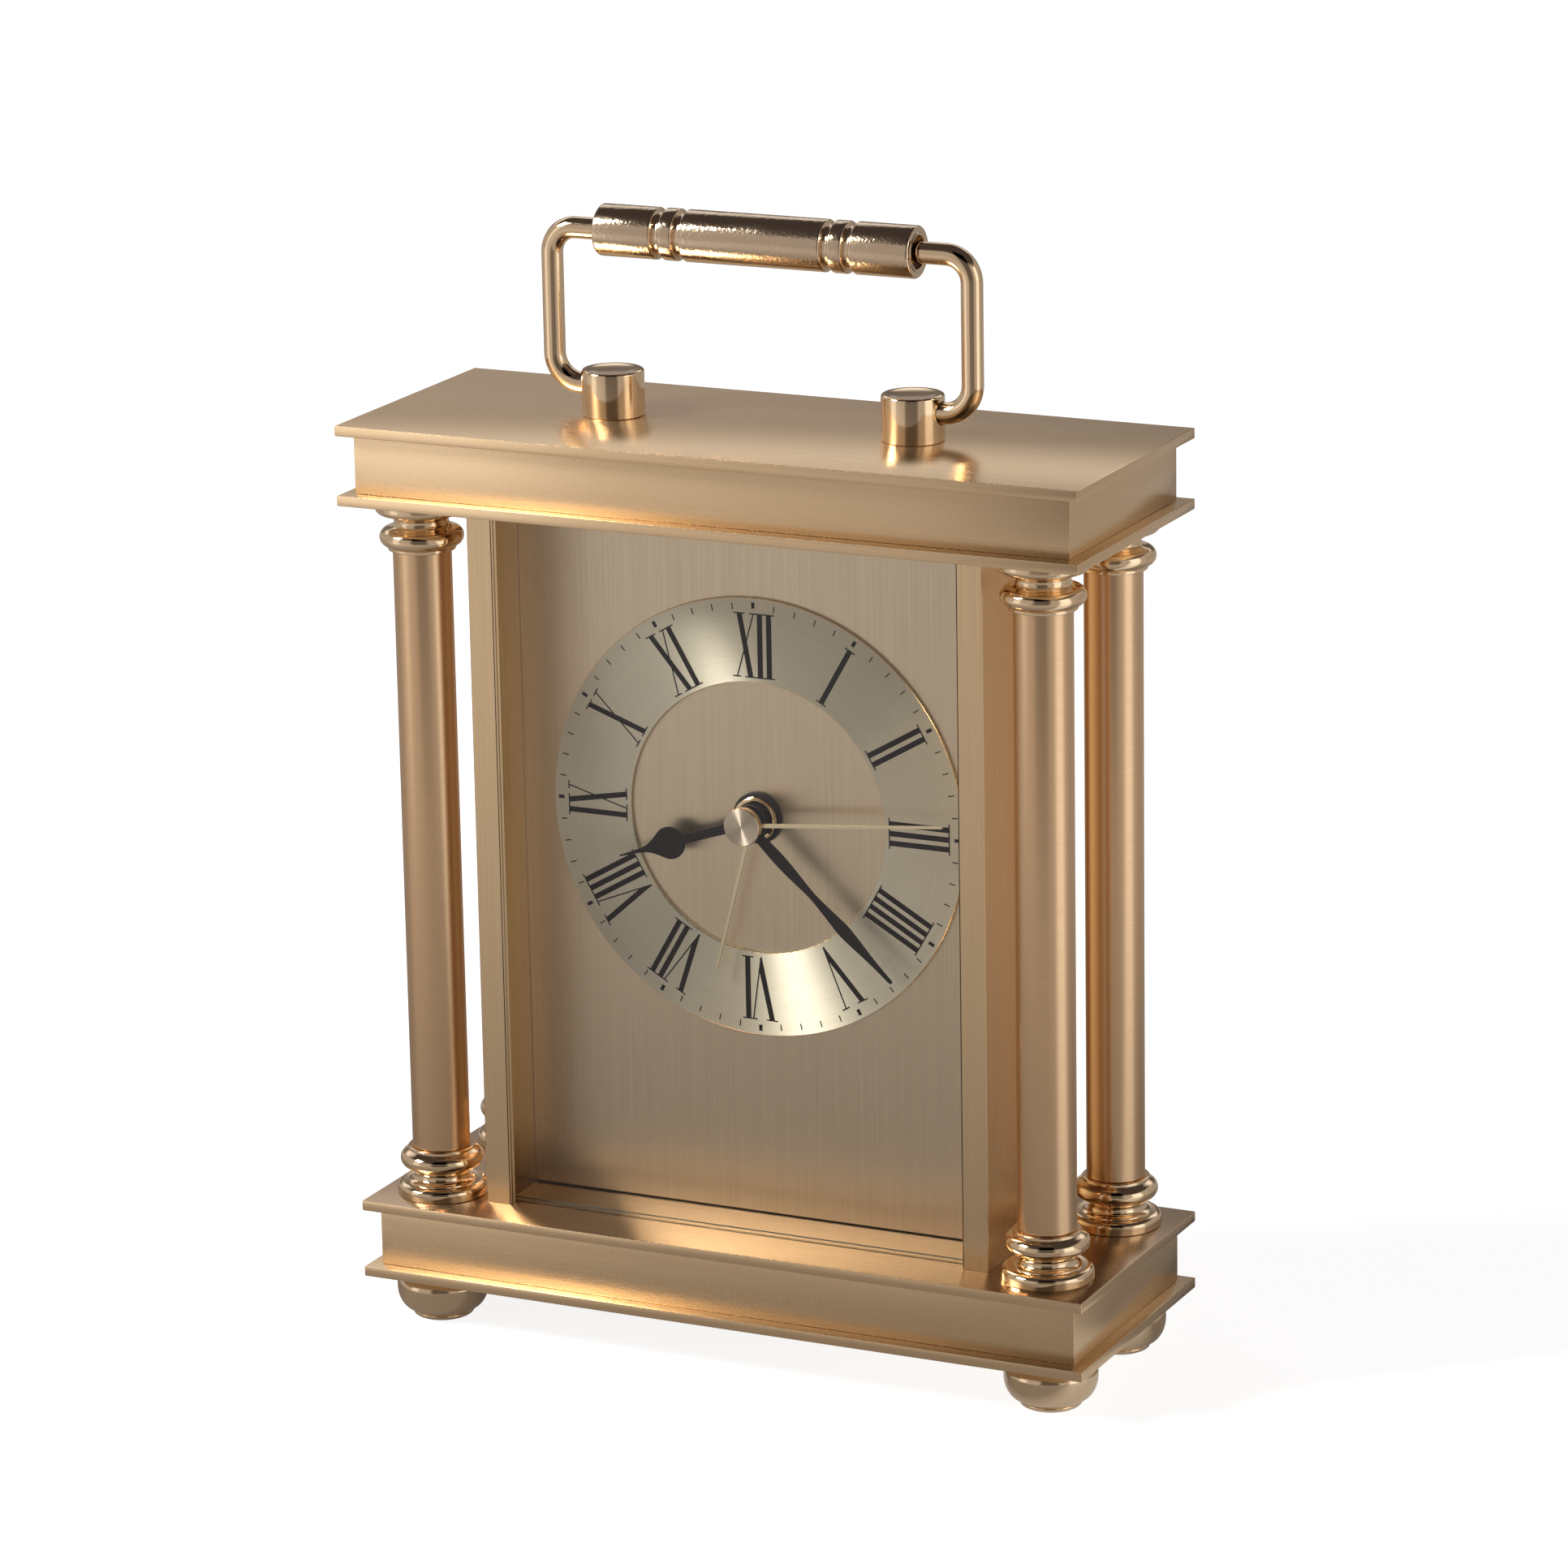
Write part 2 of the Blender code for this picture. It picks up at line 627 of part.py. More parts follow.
# Where each wheel and pinion sits along Y: (front, back).
ALARM_GEAR_Y = (0.0, 1.2)
HOUR_GEAR_Y = (1.7, 2.9)
MOTION_GEAR_Y = (3.4, 4.6)
MINUTE_GEAR_Y = (5.3, 6.3)
THIRD_GEAR_Y = (7.5, 8.3)
SECOND_GEAR_Y = (9.0, 9.8)
INTERMEDIATE_GEAR_Y = (10.4, 11.1)


def gear_outline(teeth, module, middle):
    """Plain pointed teeth; one is centred on the angle middle (degrees in the X-Z plane)."""
    pitch_radius = teeth * module / 2
    tip, root = pitch_radius + 0.8 * module, pitch_radius - 1.05 * module
    pitch = 2 * math.pi / teeth
    points = []
    for tooth in range(teeth):
        centre = math.radians(middle) + tooth * pitch
        for radius, share in ((root, -0.27), (tip, 0.0), (root, 0.27)):
            angle = centre + share * pitch
            points.append((radius * math.cos(angle), radius * math.sin(angle)))
    return points


def gear(name, finish, teeth, module, middle, span, axis):
    """One toothed disc between the two Y positions of span; the outline plane turns into X-Z."""
    location = (axis[0], sum(span) / 2, DIAL_Z + axis[1])
    outline = gear_outline(teeth, module, middle)
    return flat_piece(name, finish, outline, span[1] - span[0], location, (math.pi / 2, 0, 0))


def meshed(distance, teeth, mate_teeth):
    """Module that puts two meshing gears this far apart."""
    return 2 * distance / (teeth + mate_teeth)


def gap_angle(teeth, facing):
    """Middle of the first tooth of a gear whose tooth gap faces this direction."""
    return facing + 180.0 / teeth


def arbor(name, radius, span, axis=(0.0, 0.0), segments=20):
    return rod(name, None, radius, span, "Y", segments, (axis[0], DIAL_Z + axis[1]))


def build_alarm_work():
    module = meshed(ALARM_DISTANCE, 32, 8)
    wheel = gear("alarm_wheel", "white_plastic", 32, module, 100, ALARM_GEAR_Y, (0, 0))
    tube = arbor("alarm_tube", ALARM_TUBE[1], (DIAL_FRONT_Y - 2.7, 1.0))
    bore = arbor("alarm_bore", ALARM_TUBE[0], (DIAL_FRONT_Y - 4, 3))
    boolean(boolean(wheel, "UNION", tube), "DIFFERENCE", bore)
    attach(empty("alarm_pivot", (0, 0, DIAL_Z)), wheel, build_alarm_hand())

    middle = gap_angle(8, 280)
    span = (ALARM_GEAR_Y[0] - 0.2, ALARM_GEAR_Y[1] + 0.2)
    pinion = gear("alarm_pinion", None, 8, module, middle, span, ALARM_SET_AXIS)
    shaft = arbor("alarm_shaft", 0.8, (0.5, MOVEMENT_BACK_Y + 1.5), ALARM_SET_AXIS, 16)
    knob = build_knob("alarm_set_knob", ALARM_SET_AXIS, shaft, pinion)
    attach(empty("alarm_set_pivot", (ALARM_SET_AXIS[0], 0, DIAL_Z + ALARM_SET_AXIS[1])), knob)


def build_knob(name, axis, *joined):
    """A round knob behind the cover, with a finger slot, moulded with what it is joined to."""
    back = MOVEMENT_BACK_Y
    profile = [(0.0, 5.0), (3.8, 5.0), (4.4, 4.4), (4.4, 0.5), (4.0, 0.0), (0.0, 0.0)]
    location = (axis[0], back + 0.5, DIAL_Z + axis[1])
    knob = turned(name, "white_plastic", profile, location, 20, (-math.pi / 2, 0, 0))
    return boolean(knob, "UNION", *joined)


def build_motion_work():
    """Cannon pinion, motion wheel with its knob, and hour wheel: twelve to one."""
    coarse, fine = meshed(MOTION_DISTANCE, 8, 24), meshed(MOTION_DISTANCE, 8, 32)
    facing, back = -10, 170
    cannon = gear("minute_arbor", "white_plastic", 8, coarse, facing, (3.3, 4.7), (0, 0))
    tube = arbor("minute_tube", MINUTE_TUBE[1], (DIAL_FRONT_Y - 4.6, 6.9))
    bore = arbor("minute_bore", MINUTE_TUBE[0], (DIAL_FRONT_Y - 6, 8))
    boolean(boolean(cannon, "UNION", tube), "DIFFERENCE", bore)
    attach(empty("minute_pivot", (0, 0, DIAL_Z)), cannon, build_minute_hand())

    wheel = gear("motion_wheel", "white_plastic", 24, coarse, gap_angle(24, back), MOTION_GEAR_Y, MOTION_AXIS)
    pinion = gear("motion_pinion", None, 8, fine, back, (HOUR_GEAR_Y[0] - 0.2, 4.0), MOTION_AXIS)
    bore = arbor("motion_bore", 0.8 + 0.06, (0, 6), MOTION_AXIS, 16)
    boolean(boolean(wheel, "UNION", pinion), "DIFFERENCE", bore)
    shaft = arbor("time_shaft", 0.8, (1.0, MOVEMENT_BACK_Y + 1.5), MOTION_AXIS, 16)
    knob = build_knob("time_set_knob", MOTION_AXIS, shaft)
    attach(empty("motion_pivot", (MOTION_AXIS[0], 0, DIAL_Z + MOTION_AXIS[1])), wheel, knob)

    wheel = gear("hour_wheel", "white_plastic", 32, fine, gap_angle(32, facing), HOUR_GEAR_Y, (0, 0))
    tube = arbor("hour_tube", HOUR_TUBE[1], (DIAL_FRONT_Y - 3.6, 2.6))
    bore = arbor("hour_bore", HOUR_TUBE[0], (DIAL_FRONT_Y - 5, 4))
    boolean(boolean(wheel, "UNION", tube), "DIFFERENCE", bore)
    attach(empty("hour_pivot", (0, 0, DIAL_Z)), wheel, build_hour_hand())


def build_going_train():
    """Rotor to seconds wheel, thirty to one; seconds wheel to minute wheel, sixty to one."""
    fine = meshed(ROTOR_DISTANCE, 6, 30)
    pinion = gear("rotor_pinion", None, 6, fine, 225, (INTERMEDIATE_GEAR_Y[0] - 0.2, 11.3), ROTOR_AXIS)
    shaft = arbor("rotor_shaft", 0.4, (4.6, 11.2), ROTOR_AXIS, 12)
    rotor = rod("rotor", "steel", 2.2, (5.4, 8.6), "Y", 20, (ROTOR_AXIS[0], DIAL_Z + ROTOR_AXIS[1]))
    boolean(rotor, "UNION", shaft, pinion)
    attach(empty("rotor_pivot", (ROTOR_AXIS[0], 0, DIAL_Z + ROTOR_AXIS[1])), rotor)

    module = meshed(INTERMEDIATE_DISTANCE, 6, 36)
    axis, span = INTERMEDIATE_AXIS, INTERMEDIATE_GEAR_Y
    wheel = gear("intermediate_wheel", "white_plastic", 30, fine, gap_angle(30, 45), span, axis)
    pinion = gear("intermediate_pinion", None, 6, module, 240, (SECOND_GEAR_Y[0] - 0.2, 10.8), axis)
    boolean(wheel, "UNION", pinion)
    attach(empty("intermediate_pivot", (axis[0], 0, DIAL_Z + axis[1])), wheel)

    train = meshed(TRAIN_DISTANCE, 6, 45)
    wheel = gear("seconds_wheel", "white_plastic", 36, module, gap_angle(36, 60), SECOND_GEAR_Y, (0, 0))
    pinion = gear("seconds_pinion", None, 6, train, 170, (THIRD_GEAR_Y[0] - 0.2, 9.4), (0, 0))
    shaft = arbor("seconds_shaft", SECOND_ARBOR, (DIAL_FRONT_Y - 5.4, 11.4), segments=16)
    boolean(wheel, "UNION", pinion, shaft)
    attach(empty("seconds_pivot", (0, 0, DIAL_Z)), wheel, build_second_hand())

    slow = meshed(TRAIN_DISTANCE, 6, 48)
    wheel = gear("third_wheel", "white_plastic", 45, train, gap_angle(45, -10), THIRD_GEAR_Y, THIRD_AXIS)
    pinion = gear("third_pinion", None, 6, slow, -10, (MINUTE_GEAR_Y[0] - 0.2, 7.9), THIRD_AXIS)
    boolean(wheel, "UNION", pinion)
    attach(empty("third_pivot", (THIRD_AXIS[0], 0, DIAL_Z + THIRD_AXIS[1])), wheel)

    wheel = gear("minute_wheel", "white_plastic", 48, slow, gap_angle(48, 170), MINUTE_GEAR_Y, (0, 0))
    boolean(wheel, "DIFFERENCE", arbor("minute_wheel_bore", MINUTE_TUBE[1] + 0.05, (4, 8)))
    attach(empty("minute_wheel_pivot", (0, 0, DIAL_Z)), wheel)


def build_alarm_switch():
    """A slider in the cover: up is off, down is on."""
    x, z = SWITCH_AT
    back = MOVEMENT_BACK_Y
    tab = box(
        "alarm_switch",
        "white_plastic",
        (x - 1.2, back - MOVEMENT_WALL - 0.8, DIAL_Z + z - 1.2),
        (x + 1.2, back + 2.0, DIAL_Z + z + 1.2),
    )
    shoe = box(
        "switch_shoe",
        None,
        (x - 2.4, back - MOVEMENT_WALL - 1.4, DIAL_Z + z - 2.0),
        (x + 2.4, back - MOVEMENT_WALL - GAP, DIAL_Z + z + 2.0),
    )
    boolean(tab, "UNION", shoe)


# ---------------------------------------------------------------- hands
def hand(name, finish, half_outline, boss, tube, y, thick, angle):
    """A flat hand, mirrored from (half width, distance) points and turned to its angle from twelve."""
    outline = list(half_outline) + [(-x, r) for x, r in reversed(half_outline) if x > 0]
    location = (0, y - thick / 2, DIAL_Z)
    piece = flat_piece(name, finish, outline, thick, location, (math.pi / 2, math.radians(angle), 0))
    collar = arbor(name + "_collar", boss, (y - thick - 0.2, y + 0.1), segments=24)
    boolean(piece, "UNION", collar)
    if tube:
        boolean(piece, "DIFFERENCE", arbor(name + "_bore", tube, (y - 4, y + 2)))
    return piece


def build_alarm_hand():
    half = [(0.35, 0.0), (0.25, 26.0), (0.0, 26.4)]
    tube, y = ALARM_TUBE[1] + 0.05, DIAL_FRONT_Y - 2.2
    return hand("alarm_hand", "gold_hand", half, 2.5, tube, y, 0.3, ALARM_ANGLE)


def build_hour_hand():
    """A stem, a round disc, and a point drawn out of it in a hollow curve."""
    disc_at, disc_radius, tip = 15.0, 2.65, 24.5
    half = [(0.85, 0.0), (0.62, disc_at - disc_radius * 0.97)]
    for degrees in (-45, -15, 15, 40):
        angle = math.radians(degrees)
        half.append((disc_radius * math.cos(angle), disc_at + disc_radius * math.sin(angle)))
    half += [(1.1, 18.3), (0.55, 19.7), (0.3, 21.5), (0.0, tip)]
    tube, y = HOUR_TUBE[1] + 0.05, DIAL_FRONT_Y - 3.1
    return hand("hour_hand", "black_hand", half, 2.9, tube, y, 0.35, HOUR_ANGLE)


def build_minute_hand():
    """A blade that swells twice before its point."""
    half = [(0.75, 0.0), (0.95, 6.0), (0.98, 8.2), (0.7, 12.5), (0.52, 15.8), (0.75, 19.5), (1.05, 22.8)]
    half += [(0.8, 26.0), (0.4, 30.5), (0.3, 32.5), (0.0, 34.2)]
    tube, y = MINUTE_TUBE[1] + 0.05, DIAL_FRONT_Y - 4.1
    return hand("minute_hand", "black_hand", half, 2.2, tube, y, 0.35, MINUTE_ANGLE)


def build_second_hand():
    """A thin baton, whose cap disc covers the ends of all the arbors."""
    half = [(0.36, 0.0), (0.22, 34.3), (0.0, 34.5)]
    piece = hand("second_hand", "gold_hand", half, 1.0, None, DIAL_FRONT_Y - 5.0, 0.3, SECOND_ANGLE)
    cap = arbor("second_cap", 3.1, (DIAL_FRONT_Y - 6.4, DIAL_FRONT_Y - 5.2), segments=32)
    socket = arbor("second_socket", SECOND_ARBOR + 0.03, (DIAL_FRONT_Y - 5.6, DIAL_FRONT_Y - 4), segments=16)
    boolean(piece, "UNION", cap)
    return boolean(piece, "DIFFERENCE", socket)


def main():
    clear_scene()
    add_collection("clock", "carriage_clock")
    add_collection("cutters", "cutters")
    pieces = build_plates_and_blocks()
    build_feet()
    build_columns(pieces)
    build_case()
    build_handle()
    build_movement_housing()
    build_battery()
    build_electrics()
    build_fixing_nut()
    build_alarm_work()
    build_motion_work()
    build_going_train()
    build_alarm_switch()


main()
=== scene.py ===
"""Looks of the four-column brass carriage clock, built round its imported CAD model.

The row frame: +X to the right of someone facing the dial, +Y to the back, +Z up, in metres.
Shapes are written in millimetres and scaled by MM. Every mesh's points are in the row frame.
"""

import math

import bmesh
import bpy
from mathutils import Matrix, Vector


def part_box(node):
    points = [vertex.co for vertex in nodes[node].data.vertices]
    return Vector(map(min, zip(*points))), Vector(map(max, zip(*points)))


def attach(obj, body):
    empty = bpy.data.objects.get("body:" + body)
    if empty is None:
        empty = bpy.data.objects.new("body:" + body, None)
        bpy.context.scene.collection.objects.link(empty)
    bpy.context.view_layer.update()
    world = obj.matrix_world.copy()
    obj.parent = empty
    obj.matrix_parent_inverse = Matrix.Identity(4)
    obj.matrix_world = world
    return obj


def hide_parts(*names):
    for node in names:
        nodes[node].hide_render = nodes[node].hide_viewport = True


MM = 0.001

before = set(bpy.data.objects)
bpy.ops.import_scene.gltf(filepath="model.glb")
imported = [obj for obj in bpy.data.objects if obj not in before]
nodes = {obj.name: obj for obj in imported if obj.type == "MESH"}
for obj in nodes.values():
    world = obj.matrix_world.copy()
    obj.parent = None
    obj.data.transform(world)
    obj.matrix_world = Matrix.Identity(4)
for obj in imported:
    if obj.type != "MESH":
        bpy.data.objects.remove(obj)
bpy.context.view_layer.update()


def corner_mm(node, which):
    """The lowest (0) or highest (1) corner of a CAD node, in mm."""
    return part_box(node)[which] / MM


def middle_mm(node):
    return (corner_mm(node, 0) + corner_mm(node, 1)) / 2


# ---------------------------------------------------------------- measures (mm)
SEAM = 0.04  # left showing between pieces that rest on each other
EDGE = 0.16  # rounding of the plates' and blocks' edges
AXIS_Z = middle_mm("chapter_ring").z
FLOOR_Z = corner_mm("base_top_plate", 1).z
CORNICE_Z = corner_mm("cornice_plate", 0).z
CAP_TOP_Z = corner_mm("cap_plate", 1).z
RING_FRONT_Y = corner_mm("chapter_ring", 0).y
DIAL_FRONT_Y = corner_mm("dial_plate", 0).y
CORNERS = ("front_left", "front_right", "rear_left", "rear_right")

HOUR_ANGLE = 251.1  # clockwise from twelve, in degrees: fourteen seconds past 8:22
MINUTE_ANGLE = 133.4
SECOND_ANGLE = 84.5
ALARM_ANGLE = 195.0
BROAD_FACE = 1e-3  # square metres: the case sides' outer face, and none of its chamfers

# ---------------------------------------------------------------- colours (linear)
SATIN = (0.86, 0.63, 0.385)
STILE = (0.82, 0.61, 0.37)
# Painted light: the stile's brass made brighter and more orange for the case sides' outer face, for the light the
# columns and the right panel throw on it.
CASE_SIDE_PAINTED_LIGHT = (0.92, 0.66, 0.38)
DIAL = (0.785, 0.63, 0.455)
RING = (1.0, 0.88, 0.70)
COLUMN = (0.79, 0.54, 0.32)
POLISHED = (0.90, 0.68, 0.44)
GRIP = (0.74, 0.57, 0.40)
# Painted shade: a darker copy of the satin brass for the base top plate's upper face, where it mirrors less light.
BASE_TOP_PAINTED_SHADE = (0.60, 0.43, 0.28)
HAND_GOLD = (0.92, 0.78, 0.54)
PRINT_BLACK = (0.010, 0.006, 0.008)
STEEL = (0.56, 0.56, 0.57)


# ---------------------------------------------------------------- materials
class Surface:
    """A material in the making: its node tree, with short ways to add nodes."""

    def __init__(self, name, colour=(0.8, 0.8, 0.8), metallic=0.0, roughness=0.5, **sockets):
        self.material = bpy.data.materials.new(name)
        self.material.use_nodes = True
        self.tree = self.material.node_tree
        self.shader = self.tree.nodes["Principled BSDF"]
        self.set("Base Color", (*colour, 1.0))
        self.set("Metallic", metallic)
        self.set("Roughness", roughness)
        for key, value in sockets.items():
            self.set(key.replace("_", " "), value)

    def set(self, socket, value):
        self.feed(self.shader.inputs[socket], value)

    def feed(self, socket, value):
        if isinstance(value, bpy.types.NodeSocket):
            self.tree.links.new(value, socket)
        else:
            socket.default_value = value

    def node(self, kind, inputs=(), **settings):
        node = self.tree.nodes.new("ShaderNode" + kind)
        for key, value in settings.items():
            setattr(node, key, value)
        for key, value in dict(inputs).items():
            self.feed(node.inputs[key], value)
        return node

    def position(self):
        """Where a point is in the row frame, at rest."""
        return self.node("TexCoord").outputs["Object"]

    def normal(self):
        return self.node("NewGeometry").outputs["Normal"]

    def vector(self, operation, a, b=(0.0, 0.0, 0.0), output=0):
        return self.node("VectorMath", {0: a, 1: b}, operation=operation).outputs[output]

    def maths(self, operation, a, b=0.0):
        return self.node("Math", {0: a, 1: b}, operation=operation).outputs[0]

    def noise(self, vector, scale=1.0, detail=2.0):
        inputs = {"Vector": vector, "Scale": scale, "Detail": detail}
        return self.node("TexNoise", inputs).outputs["Fac"]

    def remap(self, value, low, high, to_low, to_high):
        inputs = {0: value, 1: low, 2: high, 3: to_low, 4: to_high}
        return self.node("MapRange", inputs).outputs[0]

    def mix(self, factor, a, b):
        colours = {0: factor, 6: (*a, 1.0) if isinstance(a, tuple) else a}
        colours[7] = (*b, 1.0) if isinstance(b, tuple) else b
        return self.node("Mix", colours, data_type="RGBA").outputs[2]

    def bump(self, height, strength, distance=0.02):
        inputs = {"Strength": strength, "Distance": distance * MM, "Height": height}
        self.set("Normal", self.node("Bump", inputs).outputs["Normal"])


def shade(colour, factor):
    return tuple(min(1.0, channel * factor) for channel in colour)


def grain_scale(along, fine, reach):
    """Scale vector (per metre) of a grain that is fine across and reaches far along one axis."""
    return tuple(1.0 / ((reach if axis == along else fine) * MM) for axis in "XYZ")


def lay_tangent(surface, along):
    """Spreads the highlight across the brushing, as the scratches do."""
    surface.set("Tangent", surface.vector("CROSS_PRODUCT", surface.normal(), along))


def finish_grain(surface, grain, streaks, colour, roughness, contrast, spread, broad=0.35):
    """Colour and roughness from a fine grain and from a share of broader streaks."""
    fine = surface.maths("MULTIPLY", grain, 1 - broad)
    together = surface.maths("ADD", fine, surface.maths("MULTIPLY", streaks, broad))
    tone = surface.remap(together, 0.3, 0.7, 0.0, 1.0)
    surface.set("Base Color", surface.mix(tone, shade(colour, 1 - contrast), shade(colour, 1 + contrast)))
    surface.set("Roughness", surface.remap(together, 0.3, 0.7, roughness + spread, roughness - spread))


def brushed_slab(name, colour, roughness=0.26, anisotropic=0.65, contrast=0.06, cut=0.006):
    """Sheet and bar brass, brushed level: along X on top, and round its edges."""
    surface = Surface(name, metallic=1.0, Anisotropic=anisotropic)
    facing = surface.node("SeparateXYZ", {0: surface.node("NewGeometry").outputs["True Normal"]})
    level = surface.maths("GREATER_THAN", surface.maths("ABSOLUTE", facing.outputs["Z"]), 0.5)
    on_top, on_edge = grain_scale("X", 0.2, 60.0), (1 / (60.0 * MM), 1 / (60.0 * MM), 1 / (0.16 * MM))
    scale = surface.mix(level, on_edge, on_top)
    position = surface.position()
    grain = surface.noise(surface.vector("MULTIPLY", position, scale), 1.0, 3.0)
    streaks = surface.noise(surface.vector("MULTIPLY", position, scale), 0.22, 2.0)
    finish_grain(surface, grain, streaks, colour, roughness, contrast, 0.02, 0.2)
    surface.bump(grain, cut)
    lay_tangent(surface, (1.0, 0.02, 0.0))
    return surface.material


def brushed_upright(name, colour, roughness=0.3, anisotropic=0.65, contrast=0.07, fine=0.2):
    """Brass brushed up and down."""
    surface = Surface(name, metallic=1.0, Anisotropic=anisotropic)
    position = surface.position()
    scaled = surface.vector("MULTIPLY", position, grain_scale("Z", fine, 28.0))
    grain = surface.noise(scaled, 1.0, 3.0)
    streaks = surface.noise(scaled, 0.45, 2.0)
    finish_grain(surface, grain, streaks, colour, roughness, contrast, 0.04)
    surface.bump(grain, 0.04)
    lay_tangent(surface, (0.0, 0.0, 1.0))
    return surface.material


def spun(name, colour, roughness=0.54, anisotropic=1.0, fine=0.11, contrast=0.05, metallic=1.0):
    """A face finished on the lathe about the hands' axis: fine rings, and fans of light."""
    surface = Surface(name, metallic=metallic, Anisotropic=anisotropic)
    away = surface.vector("SUBTRACT", surface.position(), (0.0, 0.0, AXIS_Z * MM))
    away = surface.vector("MULTIPLY", away, (1.0, 0.0, 1.0))
    radius = surface.vector("LENGTH", away, output="Value")
    rings = surface.node("CombineXYZ", {0: surface.maths("MULTIPLY", radius, 1 / (fine * MM))})
    slow = surface.vector("MULTIPLY", surface.vector("NORMALIZE", away), (0.8, 0.8, 0.8))
    turned_by = surface.vector("ADD", rings.outputs[0], slow)
    grain = surface.noise(turned_by, 1.0, 3.0)
    streaks = surface.noise(turned_by, 0.2, 2.0)
    finish_grain(surface, grain, streaks, colour, roughness, contrast, 0.04)
    surface.bump(grain, 0.03)
    surface.set("Tangent", away)
    return surface.material


def satin_turned(name, colour, roughness=0.24, anisotropic=0.5):
    """Column shafts: fine level rings from the lathe, with a faint mottle."""
    surface = Surface(name, metallic=1.0, Anisotropic=anisotropic)
    position = surface.position()
    rings = surface.noise(surface.vector("MULTIPLY", position, (30.0, 30.0, 5000.0)), 1.0, 2.0)
    mottle = surface.noise(position, 420.0, 3.0)
    finish_grain(surface, rings, mottle, colour, roughness, 0.025, 0.02)
    surface.bump(rings, 0.012)
    surface.set("Tangent", (0.0, 0.0, 1.0))
    return surface.material


def polished(name, colour, roughness=0.05, pits=0.03, pit_scale=3200.0, depth=0.02):
    """Plated and buffed: a bright mirror with soft smears and a few pits."""
    surface = Surface(name, metallic=1.0)
    position = surface.position()
    smears = surface.noise(position, 160.0, 4.0)
    fine = surface.noise(position, pit_scale, 2.0)
    surface.set("Roughness", surface.remap(smears, 0.35, 0.7, roughness, roughness + 0.04))
    surface.set("Base Color", surface.mix(smears, shade(colour, 1.04), shade(colour, 0.94)))
    surface.bump(fine, pits, depth)
    return surface.material


def highlit_edge_metal(name, colour):
    """Rounded edges with a painted highlight: a brighter colour than the faces, with the fine nicks a broken edge
    has.
    """
    surface = Surface(name, metallic=1.0)
    nicks_and_highlight = surface.noise(surface.position(), 2400.0, 3.0)
    # Painted highlight: the edges' colour is lifted above the faces' brass, and the nicks vary it.
    surface.set("Base Color", surface.mix(nicks_and_highlight, shade(colour, 0.96), shade(colour, 1.16)))
    surface.set("Roughness", surface.remap(nicks_and_highlight, 0.35, 0.65, 0.14, 0.34))
    surface.bump(nicks_and_highlight, 0.2)
    return surface.material


def moulded(name, colour, roughness, texture=0.15, scale=3500.0):
    """A moulded or painted surface with a fine grain and faint variation."""
    surface = Surface(name, Specular_IOR_Level=0.2)
    position = surface.position()
    fine, broad = surface.noise(position, scale, 3.0), surface.noise(position, 120.0, 3.0)
    surface.set("Base Color", surface.mix(broad, shade(colour, 0.88), shade(colour, 1.12)))
    surface.set("Roughness", surface.remap(fine, 0.3, 0.7, roughness - 0.06, roughness + 0.08))
    surface.bump(fine, texture)
    return surface.material


def banded(name, dark, light, along, pitch, metallic=1.0, roughness=0.35):
    """Layers or windings: bands across one axis at a pitch in mm."""
    surface = Surface(name, metallic=metallic)
    scaled = surface.vector("MULTIPLY", surface.position(), [float(axis == along) for axis in "XYZ"])
    place = surface.vector("DOT_PRODUCT", scaled, (1.0, 1.0, 1.0), output="Value")
    wave = surface.maths("SINE", surface.maths("MULTIPLY", place, 2 * math.pi / (pitch * MM)))
    mask = surface.remap(wave, -0.8, 0.8, 0.0, 1.0)
    surface.set("Base Color", surface.mix(mask, dark, light))
    surface.set("Roughness", surface.remap(wave, -1.0, 1.0, roughness + 0.15, roughness))
    surface.bump(wave, 0.3)
    return surface.material


def battery_jacket():
    """A generic cell: dark wrap with a copper-coloured end, and bare steel caps."""
    surface = Surface("battery_jacket", roughness=0.3)
    spread = surface.node("SeparateXYZ", {0: surface.position()})
    along = spread.outputs["X"]
    scuffs = surface.noise(surface.position(), 700.0, 4.0)
    end = surface.remap(along, 12.0 * MM, 12.2 * MM, 0.0, 1.0)
    wrap = surface.mix(end, (0.014, 0.015, 0.018), (0.62, 0.27, 0.11))
    cap = surface.maths("GREATER_THAN", surface.maths("ABSOLUTE", along), 24.0 * MM)
    surface.set("Base Color", surface.mix(cap, wrap, STEEL))
    surface.set("Metallic", surface.maths("MAXIMUM", surface.maths("MULTIPLY", end, 0.8), cap))
    surface.set("Roughness", surface.remap(scuffs, 0.3, 0.7, 0.24, 0.42))
    return surface.material


def board():
    """Green solder mask over a net of copper tracks."""
    surface = Surface("board", roughness=0.4)
    cells = surface.node("TexVoronoi", {"Vector": surface.position(), "Scale": 420.0}, feature="DISTANCE_TO_EDGE")
    track = surface.remap(cells.outputs[0], 0.05, 0.09, 1.0, 0.0)
    surface.set("Base Color", surface.mix(track, (0.010, 0.085, 0.035), (0.03, 0.19, 0.07)))
    surface.bump(track, 0.4)
    return surface.material


